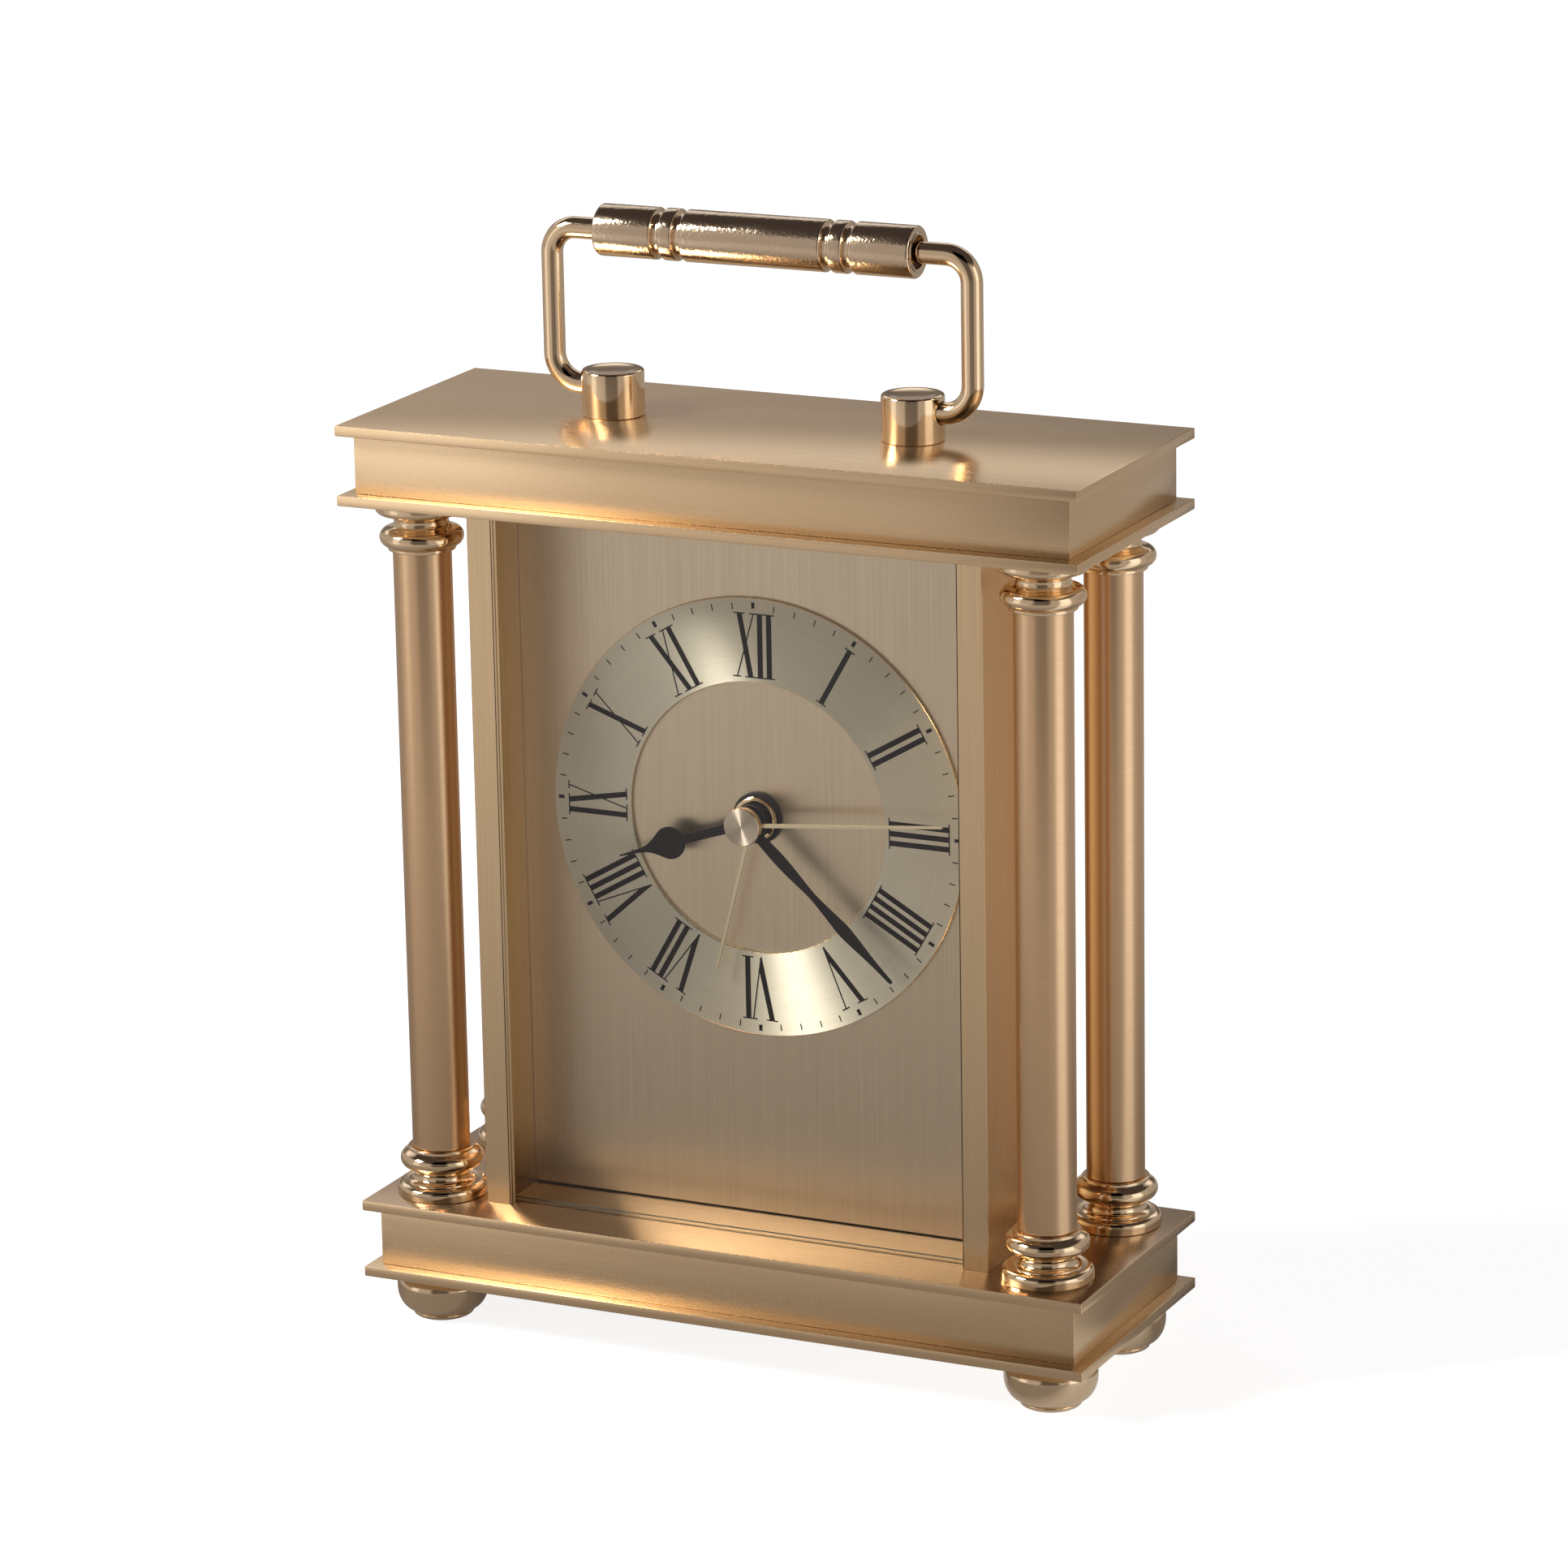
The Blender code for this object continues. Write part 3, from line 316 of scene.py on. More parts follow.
def clear_glass():
    """A thin pane: nearly all light goes straight through, the rest is mirrored, with faint smears."""
    material = bpy.data.materials.new("pane")
    material.use_nodes = True
    tree = material.node_tree
    tree.nodes.clear()
    through = tree.nodes.new("ShaderNodeBsdfTransparent")
    through.inputs["Color"].default_value = (0.985, 0.995, 0.99, 1.0)
    mirror = tree.nodes.new("ShaderNodeBsdfGlossy")
    mirror.inputs["Roughness"].default_value = 0.0
    noise = tree.nodes.new("ShaderNodeTexNoise")
    noise.inputs["Scale"].default_value = 90.0
    smears = tree.nodes.new("ShaderNodeMapRange")
    smears.inputs[3].default_value, smears.inputs[4].default_value = 0.018, 0.034
    mix = tree.nodes.new("ShaderNodeMixShader")
    output = tree.nodes.new("ShaderNodeOutputMaterial")
    link = tree.links.new
    link(tree.nodes.new("ShaderNodeTexCoord").outputs["Object"], noise.inputs["Vector"])
    link(noise.outputs[0], smears.inputs[0])
    link(smears.outputs[0], mix.inputs[0])
    link(through.outputs[0], mix.inputs[1])
    link(mirror.outputs[0], mix.inputs[2])
    link(mix.outputs[0], output.inputs[0])
    return material


slab_brass = brushed_slab("slab_brass", SATIN)
# A darker copy of the slab brass for the base top's upper face: painted shade.
base_top_painted_shade_brass = brushed_slab("base_top_painted_shade_brass", BASE_TOP_PAINTED_SHADE)
block_brass = brushed_slab("block_brass", SATIN, roughness=0.28, contrast=0.02, cut=0.0015)
stile_brass = brushed_upright("stile_brass", STILE)
# Painted light: the same brass as the stiles, brighter and more orange, for the case sides' outer face.
side_brass_painted_light = brushed_upright("side_brass_painted_light", CASE_SIDE_PAINTED_LIGHT)
dial_brass = brushed_upright("dial_brass", DIAL, roughness=0.34, anisotropic=0.7, contrast=0.09, fine=0.13)
ring_brass = spun("ring_brass", RING, metallic=0.82)
cap_brass = spun("cap_brass", (0.80, 0.66, 0.52), roughness=0.45, anisotropic=0.95)
column_brass = satin_turned("column_brass", COLUMN)
polished_brass = polished("polished_brass", POLISHED)
# Painted highlight: the satin brass made brighter for the rounded edges and rims.
painted_highlight_edge = highlit_edge_metal("painted_highlight_edge", SATIN)
hand_gold = polished("hand_gold", HAND_GOLD, roughness=0.2)
print_black = moulded("print_black", PRINT_BLACK, 0.42, texture=0.1)
hand_black = moulded("hand_black", PRINT_BLACK, 0.36, texture=0.1)
washer_black = moulded("washer_black", (0.02, 0.018, 0.02), 0.5)
black_plastic = moulded("black_plastic", (0.016, 0.016, 0.018), 0.42, texture=0.3)
nylon = moulded("nylon", (0.72, 0.71, 0.66), 0.4)
steel = moulded("steel_bar", STEEL, 0.35)
pane_glass = clear_glass()
ground_edge = moulded("ground_edge", (0.05, 0.065, 0.06), 0.5)
copper = banded("copper_winding", (0.30, 0.10, 0.04), (0.80, 0.36, 0.17), "X", 0.3)
laminations = banded("laminations", (0.16, 0.16, 0.17), (0.46, 0.46, 0.48), "Y", 0.27)
buzzer_brass = spun("buzzer_brass", (0.80, 0.62, 0.30), roughness=0.4)


# ---------------------------------------------------------------- meshes
def arc(centre, radius, start, end, steps):
    """Points (radius, height) round an arc in the profile plane; angles in degrees from +radius."""
    points = []
    for step in range(steps + 1):
        angle = math.radians(start + (end - start) * step / steps)
        points.append((centre[0] + radius * math.cos(angle), centre[1] + radius * math.sin(angle)))
    return points


def placed(location, rotation=None):
    """Matrix from a piece's own millimetres to the row frame."""
    turn = rotation.to_4x4() if rotation else Matrix.Identity(4)
    return Matrix.Translation(Vector(location) * MM) @ turn @ Matrix.Scale(MM, 4)


def facing(y, degrees=0.0):
    """Matrix for work on the dial: local X right, Y towards the given hour angle, Z to the front."""
    angle = math.radians(degrees)
    across = Vector((math.cos(angle), 0.0, -math.sin(angle)))
    up = Vector((math.sin(angle), 0.0, math.cos(angle)))
    front = Vector((0.0, -1.0, 0.0))
    turn = Matrix((across, up, front)).transposed()
    return placed((0.0, y, AXIS_Z), turn)


def lathe(profile, matrix, segments=96, closed=False):
    """Turns (radius, height) points about the matrix's own Z axis."""
    bm = bmesh.new()
    rings = []
    for radius, height in profile:
        count = 1 if radius < 1e-6 else segments
        ring = []
        for step in range(count):
            angle = 2 * math.pi * step / segments
            point = Vector((radius * math.cos(angle), radius * math.sin(angle), height))
            ring.append(bm.verts.new(matrix @ point))
        rings.append(ring)
    pairs = list(zip(rings, rings[1:])) + ([(rings[-1], rings[0])] if closed else [])
    for upper, lower in pairs:
        for step in range(segments):
            follow = (step + 1) % segments
            corners = [upper[step % len(upper)], upper[follow % len(upper)]]
            corners += [lower[follow % len(lower)], lower[step % len(lower)]]
            unique = list(dict.fromkeys(corners))
            if len(unique) > 2:
                bm.faces.new(unique)
    return bm


def rounded_box(low, high, radius=EDGE, segments=2, edge_material=1):
    """A box in mm with rounded edges, whose rounding takes the second material."""
    bm = bmesh.new()
    low, high = Vector(low), Vector(high)
    bmesh.ops.create_cube(bm, size=1.0, matrix=placed((low + high) / 2) @ Matrix.Diagonal((*(high - low), 1.0)))
    bmesh.ops.bevel(
        bm,
        geom=bm.edges[:],
        offset=radius * MM,
        segments=segments,
        profile=0.5,
        affect="EDGES",
        material=edge_material,
    )
    return bm


def prism(bm, outline, matrix, thick, bevel=0.0, edge_material=0):
    """Adds a flat outline of (x, y) mm, from local Z 0 to thick, with its front edge broken by bevel."""
    bottom = [bm.verts.new(matrix @ Vector((x, y, 0.0))) for x, y in outline]
    top = [bm.verts.new(matrix @ Vector((x, y, thick))) for x, y in outline]
    bm.faces.new(bottom[::-1])
    bm.faces.new(top)
    rim = []
    for step, vert in enumerate(bottom):
        follow = (step + 1) % len(bottom)
        bm.faces.new((vert, bottom[follow], top[follow], top[step]))
        rim.append(bm.edges.get((top[step], top[follow])))
    if bevel:
        bmesh.ops.bevel(bm, geom=rim, offset=bevel * MM, segments=2, affect="EDGES", material=edge_material)


def smoothed(points, steps=6):
    """A Catmull-Rom curve through (x, y) points."""
    padded = [points[0], *points, points[-1]]
    curve = []
    for a, b, c, d in zip(padded, padded[1:], padded[2:], padded[3:]):
        for step in range(steps):
            t = step / steps
            curve.append(
                tuple(
                    0.5 * (2 * q + (r - p) * t + (2 * p - 5 * q + 4 * r - s) * t * t + (3 * q - p - 3 * r + s) * t**3)
                    for p, q, r, s in zip(a, b, c, d)
                )
            )
    return curve + [points[-1]]


def mirrored(half):
    """A whole outline from its right half, given from the bottom up."""
    return list(half) + [(-x, y) for x, y in reversed(half) if x > 1e-6]


def piece(name, bm, materials, body="clock", replaces=(), sharp=32.0):
    """Makes a mesh a piece of the clock that rides on a body."""
    bmesh.ops.recalc_face_normals(bm, faces=bm.faces)
    mesh = bpy.data.meshes.new(name)
    bm.to_mesh(mesh)
    bm.free()
    mesh.shade_smooth()
    mesh.set_sharp_from_angle(angle=math.radians(sharp))
    for material in materials if isinstance(materials, (list, tuple)) else [materials]:
        mesh.materials.append(material)
    obj = bpy.data.objects.new(name, mesh)
    bpy.context.scene.collection.objects.link(obj)
    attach(obj, body)
    if replaces:
        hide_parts(*replaces)
    return obj


def cut(obj, bm):
    """Takes the closed mesh bm out of a piece."""
    mesh = bpy.data.meshes.new("cutter")
    bmesh.ops.recalc_face_normals(bm, faces=bm.faces)
    bm.to_mesh(mesh)
    bm.free()
    cutter = bpy.data.objects.new("cutter", mesh)
    bpy.context.scene.collection.objects.link(cutter)
    hole = obj.modifiers.new("hole", "BOOLEAN")
    hole.operation = "DIFFERENCE"
    hole.solver = "EXACT"
    hole.object = cutter
    bpy.context.view_layer.update()
    result = bpy.data.meshes.new_from_object(obj.evaluated_get(bpy.context.evaluated_depsgraph_get()))
    obj.modifiers.clear()
    result.name = obj.data.name
    obj.data = result
    bpy.data.objects.remove(cutter)


# ---------------------------------------------------------------- base and cap
def build_slabs():
    """The four plates and, between each pair, a block."""
    for name in ("base_bottom_plate", "base_top_plate", "cornice_plate", "cap_plate"):
        bm = rounded_box(corner_mm(name, 0), corner_mm(name, 1))
        metals = [slab_brass, painted_highlight_edge]
        if name == "base_top_plate":
            metals.append(base_top_painted_shade_brass)
            # Painted shade: the upper face takes the darker copy of the slab brass.
            bm.normal_update()
            for face in bm.faces:
                if face.normal.z > 0.9:
                    face.material_index = 2
        piece(name + "_brushed", bm, metals, replaces=[name])
    for name, below, above in (
        ("base_block", "base_bottom_plate", "base_top_plate"),
        ("frieze_block", "cornice_plate", "cap_plate"),
    ):
        low, high = corner_mm(name, 0), corner_mm(name, 1)
        low.z = corner_mm(below, 1).z + SEAM
        high.z = corner_mm(above, 0).z - SEAM
        bm = rounded_box(low, high, 0.12)
        piece(name + "_brushed", bm, [block_brass, painted_highlight_edge], replaces=[name])


def foot_profile(height):
    """A bun: broad shoulder, full belly, and a small rim at the table."""
    top = [(0.0, height - SEAM), (5.9, height - SEAM), (6.1, height - 0.3)]
    shoulder = arc((5.55, 5.3), 1.95, 72, 0, 10)
    belly = []
    for step in range(1, 13):
        angle = math.radians(80 * step / 12)
        belly.append((4.9 + 2.6 * math.cos(angle), 5.0 - 3.9 * math.sin(angle)))
    rim = arc((4.55, 0.55), 0.42, 55, -60, 6) + [(4.4, 0.0), (0.0, 0.0)]
    return top + shoulder + belly + [(4.75, 1.02)] + rim


def build_feet():
    """Four turned buns under the bottom plate."""
    for corner in CORNERS:
        name = "foot_" + corner
        middle = middle_mm(name)
        profile = foot_profile(corner_mm("base_bottom_plate", 0).z)
        bm = lathe(profile, placed((middle.x, middle.y, 0.0)))
        piece(name + "_turned", bm, polished_brass, replaces=[name])


def column_end_profile():
    """From the shaft down to the plate: ring, cavetto, torus, scotia, and a disc with a round rim."""
    bore, height = 1.8, 8.1
    ring = [(5.2, height), *arc((5.3, height - 0.15), 0.15, 90, 0, 3), (5.45, 7.62)]
    torus = arc((5.25, 6.0), 1.5, 66, -74, 22)
    scotia = arc((5.55, 3.42), 1.18, 118, 244, 14)
    lip = [(5.45, 2.28), (5.5, 2.2), (5.52, 2.1)]
    disc = arc((6.35, 1.15), 1.0, 96, 0, 14) + [(7.35, SEAM + 0.08), (7.27, SEAM)]
    return [(bore, height)] + ring + torus + scotia + lip + disc + [(bore, SEAM)]


def build_columns():
    """Four columns; the capital is the base turned upside down."""
    upside_down = Matrix.Rotation(math.pi, 3, "X")
    for corner in CORNERS:
        middle = middle_mm("column_shaft_" + corner)
        for part, z, turn in (("base", FLOOR_Z, None), ("capital", CORNICE_Z, upside_down)):
            name = "column_" + part + "_" + corner
            bm = lathe(column_end_profile(), placed((middle.x, middle.y, z), turn), closed=True)
            piece(name + "_turned", bm, polished_brass, replaces=[name])
        name = "column_shaft_" + corner
        radius = (corner_mm(name, 1).x - corner_mm(name, 0).x) / 2
        low, high = corner_mm(name, 0).z - 0.26, corner_mm(name, 1).z + 0.26
        profile = [(1.8, high), (radius - 0.1, high), (radius, high - 0.1)]
        profile += [(radius, low + 0.1), (radius - 0.1, low), (1.8, low)]
        bm = lathe(profile, placed((middle.x, middle.y, 0.0)), closed=True)
        piece(name + "_turned", bm, column_brass, replaces=[name])


# ---------------------------------------------------------------- case
def build_case():
    """Side extrusions with a grooved lip, and the glass with its ground edges."""
    low, high = FLOOR_Z + SEAM, CORNICE_Z - SEAM
    for name, side in (("case_side_left", -1), ("case_side_right", 1)):
        outer = max(abs(corner_mm(name, 0).x), abs(corner_mm(name, 1).x))
        front, back = corner_mm(name, 0).y, corner_mm(name, 1).y
        lip, wall, chamfer = 40.0, 41.74, 0.14
        outline = [
            (lip + chamfer, front),
            (outer - chamfer, front),
            (outer, front + chamfer),
            (outer, back - chamfer),
            (outer - chamfer, back),
            (wall, back),
            (wall, front + 1.8),
            (lip + 0.1, front + 1.8),
            (lip, front + 1.7),
            (lip, front + 1.35),
            (lip + 0.3, front + 1.05),
            (lip + 0.3, front + 0.78),
            (lip, front + 0.7),
            (lip, front + 0.28),
            (lip + 0.28, front),
        ]
        bm = bmesh.new()
        prism(bm, [(side * x, y) for x, y in outline], placed((0.0, 0.0, low)), high - low)
        bm.normal_update()
        # The broad outer face of each case side takes the brighter copy of the stile's brass: painted light.
        for face in bm.faces:
            faces_out = side * face.normal.x > 0.9
            face.material_index = int(faces_out and face.calc_area() > BROAD_FACE)
        piece(name + "_brushed", bm, [stile_brass, side_brass_painted_light], replaces=[name], sharp=20.0)
    name = "glass_pane"
    low_corner, high_corner = corner_mm(name, 0), corner_mm(name, 1)
    low_corner.z, high_corner.z = low, high
    bm = rounded_box(low_corner, high_corner, 0.14, 1)
    piece("glass_pane_polished", bm, [pane_glass, ground_edge], replaces=[name])


# ---------------------------------------------------------------- dial
NUMERALS = ("XII", "I", "II", "III", "IIII", "V", "VI", "VII", "VIII", "IX", "X", "XI")
NUMERAL_LOW, NUMERAL_HIGH = 23.0, 33.5
STROKE, HAIRLINE, SERIF = 0.88, 0.2, 0.19
PITCH = 1.58
V_POINT, V_HAIR = 1.75, 3.35  # from the top of the thick stroke to the point and the hairline
X_FOOT, X_HAIR, X_HAIR_FOOT = 1.9, 2.5, -0.5
PRINT_THICK = 0.03


def numeral_polygons(text):
    """Polygons (u, v) of a numeral, u from its left, v from the hands' axis."""
    low, high, half = NUMERAL_LOW, NUMERAL_HIGH, STROKE / 2
    shapes, cursor = [], 0.0

    def bar(middle, reach, v):
        side = SERIF if v == low else -SERIF
        left, right = middle - reach, middle + reach
        shapes.append([(left, v), (right, v), (right, v + side), (left, v + side)])

    def slant(top, foot, width):
        shapes.append([(top - width, high), (foot - width, low), (foot + width, low), (top + width, high)])

    thick_reach, thin_reach = half + 0.53, 0.7
    for letter, following in zip(text, text[1:] + " "):
        if letter == "I":
            slant(cursor, cursor, half)
            bar(cursor, thick_reach, low)
            bar(cursor, thick_reach, high)
            cursor += PITCH
        elif letter == "V":
            point, hair = cursor + V_POINT, cursor + V_HAIR
            share = 2 * half / (V_HAIR + half)
            meet = (point + (hair - point) * share, low + (high - low) * share)
            shapes.append([(cursor - half, high), (point, low - 0.15), meet, (cursor + half, high)])
            slant(hair, point + 0.1, HAIRLINE / 2)
            bar(cursor, thick_reach, high)
            bar(hair, thin_reach, high)
            cursor = hair + 0.85
        else:
            slant(cursor, cursor + X_FOOT, half)
            slant(cursor + X_HAIR, cursor + X_HAIR_FOOT, HAIRLINE / 2)
            bar(cursor, thick_reach, high)
            bar(cursor + X_HAIR, thin_reach, high)
            bar(cursor + X_FOOT, thick_reach, low)
            bar(cursor + X_HAIR_FOOT, thin_reach, low)
            cursor += X_HAIR + (1.05 if following == "I" else 0.0)
    reach = [u for shape in shapes for u, _ in shape]
    middle = (min(reach) + max(reach)) / 2
    return [[(u - middle, v) for u, v in shape] for shape in shapes]


def build_dial():
    """The spun ring with turned edges, its printed numerals and minute marks."""
    back = corner_mm("chapter_ring", 1).y + 0.16
    thick = back - RING_FRONT_Y
    inner, outer, edge = 22.3, 36.0, 0.08
    profile = [
        (inner + edge, thick),
        (outer - edge, thick),
        (outer, thick - edge),
        (outer, 0.0),
        (inner, 0.0),
        (inner, thick - edge),
    ]
    bm = lathe(profile, facing(back), 192, closed=True)
    ring = piece("chapter_ring_spun", bm, [ring_brass, painted_highlight_edge], replaces=["chapter_ring"])
    # The slanted edges of the ring take the painted highlight.
    for polygon in ring.data.polygons:
        slanted = 0.2 < abs(polygon.normal.y) < 0.9
        polygon.material_index = 1 if slanted else 0

    bm = bmesh.new()
    for hour, text in enumerate(NUMERALS):
        for count, outline in enumerate(numeral_polygons(text)):
            raised = PRINT_THICK + 0.001 * (count % 5)
            prism(bm, outline, facing(RING_FRONT_Y - 0.002, 30 * hour), raised)
    piece("dial_numerals", bm, print_black)

    bm = bmesh.new()
    for minute in range(60):
        whole = minute % 5 == 0
        half, low, high = (0.28, 34.3, 35.3) if whole else (0.085, 34.05, 35.1)
        outline = [(-half, low), (half, low), (half, high), (-half, high)]
        prism(bm, outline, facing(RING_FRONT_Y - 0.002, 6 * minute), PRINT_THICK)
    piece("dial_minute_marks", bm, print_black)


def build_hub():
    """The dark washer under the nut, and the nut with its knurled rim."""
    profile = [(3.02, 0.68), (4.05, 0.68), (4.2, 0.53), (4.2, 0.0), (3.02, 0.0)]
    bm = lathe(profile, facing(DIAL_FRONT_Y - 0.04), 96, closed=True)
    piece("hub_washer", bm, washer_black)
    back = corner_mm("fixing_nut", 1).y
    high = back - corner_mm("fixing_nut", 0).y
    profile = [(3.0, high), (3.3, high), *arc((3.35, high - 0.25), 0.25, 80, 0, 4), (3.6, 0.45), (3.52, 0.4)]
    profile += [(3.52, 0.28), (3.6, 0.22), (3.6, 0.0), (3.0, 0.0)]
    bm = lathe(profile, facing(back), 96, closed=True)
    piece("fixing_nut_turned", bm, polished_brass, replaces=["fixing_nut"])


# ---------------------------------------------------------------- hands
def boss(bm, y_front, y_back, radius, bore, edge=0.12):
    """Adds a turned boss to a hand."""
    deep = y_back - y_front
    profile = [(bore, deep), (radius - edge, deep), (radius, deep - edge), (radius, 0.0), (bore, 0.0)]
    part = lathe(profile, facing(y_back), 64, closed=bore > 0)
    mesh = bpy.data.meshes.new("boss")
    part.to_mesh(mesh)
    part.free()
    bm.from_mesh(mesh)
    bpy.data.meshes.remove(mesh)


def hour_outline():
    """Stem, round disc, and a point drawn out of it in a hollow curve."""
    disc_at, disc = 15.0, 2.65
    stem = [(0.88, 0.0), (0.66, disc_at - disc * 0.97)]
    round_part = []
    for degrees in range(-72, 31, 6):
        angle = math.radians(degrees)
        round_part.append((disc * math.cos(angle), disc_at + disc * math.sin(angle)))
    point = smoothed([(2.05, 16.72), (1.35, 17.75), (0.72, 18.95), (0.38, 20.4), (0.24, 22.2), (0.10, 24.5)], 5)
    return stem + round_part + point + [(0.0, 24.6)]


def minute_outline():
    """A blade that swells twice before its point."""
    swells = [(0.72, 0.0), (0.86, 4.0), (0.98, 7.6), (0.86, 10.6), (0.58, 14.0), (0.53, 16.2), (0.76, 19.4)]
    swells += [(1.04, 22.6), (0.92, 25.0), (0.58, 28.4), (0.36, 31.4), (0.26, 33.9)]
    return smoothed(swells, 5) + [(0.0, 34.2)]


def build_hands():
    """The four hands, each on its own arbor, and the second hand's cap."""
    for name, body, outline, angle, radius, bore, material, slot in (
        ("hour_hand", "hour_work", hour_outline(), HOUR_ANGLE, 2.9, 1.55, hand_black, "black_hand"),
        ("minute_hand", "minute_work", minute_outline(), MINUTE_ANGLE, 2.2, 1.05, hand_black, "black_hand"),
    ):
        front, back = corner_mm(name, 0).y, corner_mm(name, 1).y
        bm = bmesh.new()
        prism(bm, mirrored(outline), facing(back - 0.1, angle), 0.35, 0.07)
        boss(bm, front, back, radius, bore)
        piece(name + "_painted", bm, material, body, [name])

    name = "alarm_hand"
    front, back = corner_mm(name, 0).y, corner_mm(name, 1).y
    bm = bmesh.new()
    prism(bm, mirrored([(0.34, 0.0), (0.24, 26.0), (0.0, 26.4)]), facing(back - 0.1, ALARM_ANGLE), 0.3, 0.08)
    boss(bm, front, back, 2.5, 2.05)
    piece(name + "_plated", bm, hand_gold, "alarm_work", [name])

    name = "second_hand"
    front = corner_mm(name, 0).y
    bm = bmesh.new()
    prism(bm, mirrored([(0.36, 0.0), (0.22, 34.3), (0.0, 34.5)]), facing(DIAL_FRONT_Y - 5.0, SECOND_ANGLE), 0.3, 0.08)
    boss(bm, front + 0.9, DIAL_FRONT_Y - 4.95, 1.0, 0.0)
    piece(name + "_plated", bm, hand_gold, "seconds_work", [name])
    deep = 1.2
    profile = [(0.0, deep), (2.98, deep), (3.1, deep - 0.12), (3.1, 0.1), (3.0, 0.0), (0.0, 0.0)]
    bm = lathe(profile, facing(front + deep), 96)
    cap = piece("second_hand_cap", bm, [cap_brass, painted_highlight_edge], "seconds_work")
    for polygon in cap.data.polygons:
        polygon.material_index = 0 if polygon.normal.y < -0.9 else 1


# ---------------------------------------------------------------- handle
PIVOT_Z = CAP_TOP_Z + 4.6
GRIP_Z = CAP_TOP_Z + 29.6
BAIL_RADIUS = 1.75


def bail_route():
    """(x, z) along the bail's middle line, and the direction there in degrees, from right to left."""
    outer, foot_bend, top_bend, inner = 36.2, 4.8, 4.2, 27.8
    half = [(inner, PIVOT_Z, 0.0), (outer - foot_bend, PIVOT_Z, 0.0)]
    for step in range(1, 15):
        a = -90 + 90 * step / 14
        x = outer - foot_bend + foot_bend * math.cos(math.radians(a))
        half.append((x, PIVOT_Z + foot_bend + foot_bend * math.sin(math.radians(a)), a + 90))
    for step in range(15):
        a = 90 * step / 14
        x = outer - top_bend + top_bend * math.cos(math.radians(a))
        half.append((x, GRIP_Z - top_bend + top_bend * math.sin(math.radians(a)), a + 90))
    return half + [(-x, z, 360 - heading) for x, z, heading in reversed(half)]


def build_bail():
    """A round bar swept along the bail's route."""
    bm = bmesh.new()
    rings = []
    sides = 32
    for x, z, heading in bail_route():
        angle = math.radians(heading)
        across = Vector((-math.sin(angle), 0.0, math.cos(angle)))
        ring = []
        for step in range(sides):
            a = 2 * math.pi * step / sides
            point = Vector((x, 0.0, z)) + BAIL_RADIUS * (across * math.cos(a) + Vector((0, 1, 0)) * math.sin(a))
            ring.append(bm.verts.new(point * MM))
        rings.append(ring)
    for first, second in zip(rings, rings[1:]):
        for step in range(sides):
            follow = (step + 1) % sides
            bm.faces.new((first[step], first[follow], second[follow], second[step]))
    bm.faces.new(rings[0])
    bm.faces.new(rings[-1][::-1])
    piece("handle_bail_bent", bm, polished_brass, "handle", ["handle_bail"], sharp=50)


def grip_half():
    """Half of the grip's outer side, from its end to the middle: shoulders round into two grooves."""
    radius, half, middle, ring, wide, deep = 4.15, 27.3, 14.6, 1.2, 1.3, 0.75
    points = [(1.9, half - 0.9), (2.55, half - 0.9), (2.62, half - 0.1), (2.75, half), (3.05, half)]
    points += [(3.15, half - 0.12), (3.62, half - 0.12)] + arc((radius - 0.42, half - 0.5), 0.42, 70, 0, 4)
    for start in (middle + ring + wide, middle - ring):
        shoulder = arc((radius - 0.3, start + 0.3), 0.3, 0, -75, 5)
        bottom = radius - deep
        groove = [(bottom, start - 0.35), (bottom - 0.05, start - wide / 2), (bottom, start - wide + 0.35)]
        rise = arc((radius - 0.3, start - wide - 0.3), 0.3, 75, 0, 5)
        points += shoulder + groove + rise
    return points


def build_handle():
    """The grip, the bail it turns on, and the two posts with their holes."""
    sideways = Matrix.Rotation(math.pi / 2, 3, "Y")
    half = grip_half()
    profile = half + [(radius, -height) for radius, height in reversed(half)]
    bm = lathe(profile, placed((0.0, 0.0, GRIP_Z), sideways), 96, closed=True)
    grip_brass = polished("grip_brass", GRIP, roughness=0.11, pits=0.8, pit_scale=1900.0, depth=0.05)
    piece("handle_grip_turned", bm, grip_brass, "handle", ["handle_grip"])
    build_bail()

    radius, height = 5.0, 7.4
    profile = [(0.0, height - 0.22), (2.6, height - 0.2), (3.7, height - 0.06), (4.0, height)]
    profile += arc((radius - 0.5, height - 0.5), 0.5, 85, 0, 6)
    profile += [(radius, SEAM + 0.1), (radius - 0.1, SEAM), (0.0, SEAM)]
    for name in ("handle_post_left", "handle_post_right"):
        middle = middle_mm(name)
        post = piece(
            name + "_turned",
            lathe(profile, placed((middle.x, 0.0, CAP_TOP_Z))),
            polished_brass,
            replaces=[name],
        )
        side = math.copysign(1.0, middle.x)
        hole = [(0.0, 6.0), (BAIL_RADIUS + 0.12, 6.0), (BAIL_RADIUS + 0.12, 0.0), (0.0, 0.0)]
        turn = Matrix.Rotation(side * math.pi / 2, 3, "Y")
        cut(post, lathe(hole, placed((middle.x + side * 1.4, 0.0, PIVOT_Z), turn), 48))


# ---------------------------------------------------------------- what stays from the CAD model
def assign(names, material):
    for name in names:
        obj = nodes[name]
        obj.data.materials.clear()
        obj.data.materials.append(material)


